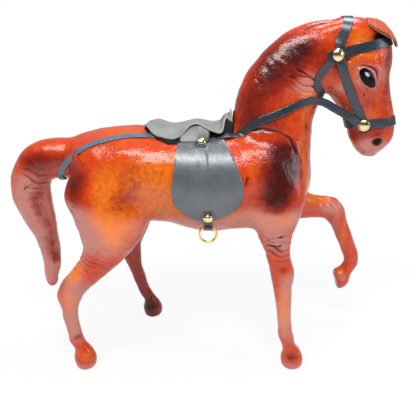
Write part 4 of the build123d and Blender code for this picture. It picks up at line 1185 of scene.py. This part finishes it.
def floor_material():
    """Pale floor that keeps faint shadows and looks white to the camera and in reflections."""
    make = Finish("floor_white")
    made = make.shaded({"Base Color": (0.86, 0.86, 0.86, 1), "Roughness": 0.9, "Specular IOR Level": 0.0})
    made.cycles.emission_sampling = "NONE"
    looking, shiny = make.seen()
    glow = make.add("ShaderNodeEmission", {"Color": (1, 1, 1, 1), "Strength": 1.0})
    away = make.add("ShaderNodeVectorMath", {0: make.places["Object"]}, operation="LENGTH").outputs["Value"]
    plain = make.ramp(away, 0.18, 0.42, 0.86, 1.0)
    share = make.math("MULTIPLY", make.math("MAXIMUM", looking, make.math("MULTIPLY", shiny, 0.3)), plain)
    nodes = make.tree.nodes
    shades = {0: share, 1: nodes["Principled BSDF"].outputs[0], 2: glow.outputs[0]}
    mixed = make.add("ShaderNodeMixShader", shades).outputs[0]
    make.connect(nodes["Material Output"], {"Surface": mixed})
    return made


def light_world(scene, strength):
    """White surroundings; shiny surfaces see them dimmer on the camera's side of the room."""
    make = Finish("studio", "worlds")
    scene.world = make.owner
    make.owner.cycles.sampling_method = "NONE"
    looking, shiny = make.seen()
    way = make.add("ShaderNodeSeparateXYZ", {0: make.places["Generated"]}).outputs
    mirrored = make.ramp(way["Y"], -0.5, 0.4, 0.06, 0.4)
    value = make.mix_value(looking, make.mix_value(shiny, strength, mirrored), 1.0)
    make.connect(make.tree.nodes["Background"], {"Color": (1, 1, 1, 1), "Strength": value})


def soft_light(name, place, size, power, tint):
    """Oblong soft box aimed at the horse."""
    lamp = bpy.data.lights.new(name, "AREA")
    lamp.shape = "RECTANGLE"
    lamp.size, lamp.size_y = size
    lamp.energy = power
    lamp.color = tint
    obj = bpy.data.objects.new(name, lamp)
    obj.location = place
    obj.rotation_euler = (LIT_POINT - Vector(place)).to_track_quat("-Z", "Y").to_euler()
    bpy.context.scene.collection.objects.link(obj)


OPERATORS = (
    HORSE_OT_hide, HORSE_OT_head_trim, HORSE_OT_saddle, HORSE_OT_straps,
    HORSE_OT_brass, HORSE_OT_cores, HORSE_OT_stage,
)


class HORSE_PT_panel(Panel):
    """Steps that dress the horse, in order"""

    bl_idname = "HORSE_PT_panel"
    bl_label = "Leather horse"
    bl_space_type = "VIEW_3D"
    bl_region_type = "UI"
    bl_category = "Leather horse"

    def draw(self, context):
        for operator in OPERATORS:
            self.layout.operator(operator.bl_idname)


CLASSES = (HideSettings, TackSettings, BrassSettings, StageSettings, *OPERATORS, HORSE_PT_panel)
POINTERS = {
    "horse_hide": HideSettings, "horse_tack": TackSettings,
    "horse_brass": BrassSettings, "horse_stage": StageSettings,
}


def register():
    """Make the settings, steps and panel known."""
    for cls in CLASSES:
        bpy.utils.register_class(cls)
    for name, group in POINTERS.items():
        setattr(bpy.types.Scene, name, PointerProperty(type=group))


def unregister():
    """Take the settings, steps and panel away again."""
    for name in POINTERS:
        delattr(bpy.types.Scene, name)
    for cls in reversed(CLASSES):
        bpy.utils.unregister_class(cls)


def main():
    """Dress the horse and set the stage."""
    register()
    for operator in OPERATORS:
        group, name = operator.bl_idname.split(".")
        getattr(getattr(bpy.ops, group), name)()


if __name__ == "__main__":
    main()
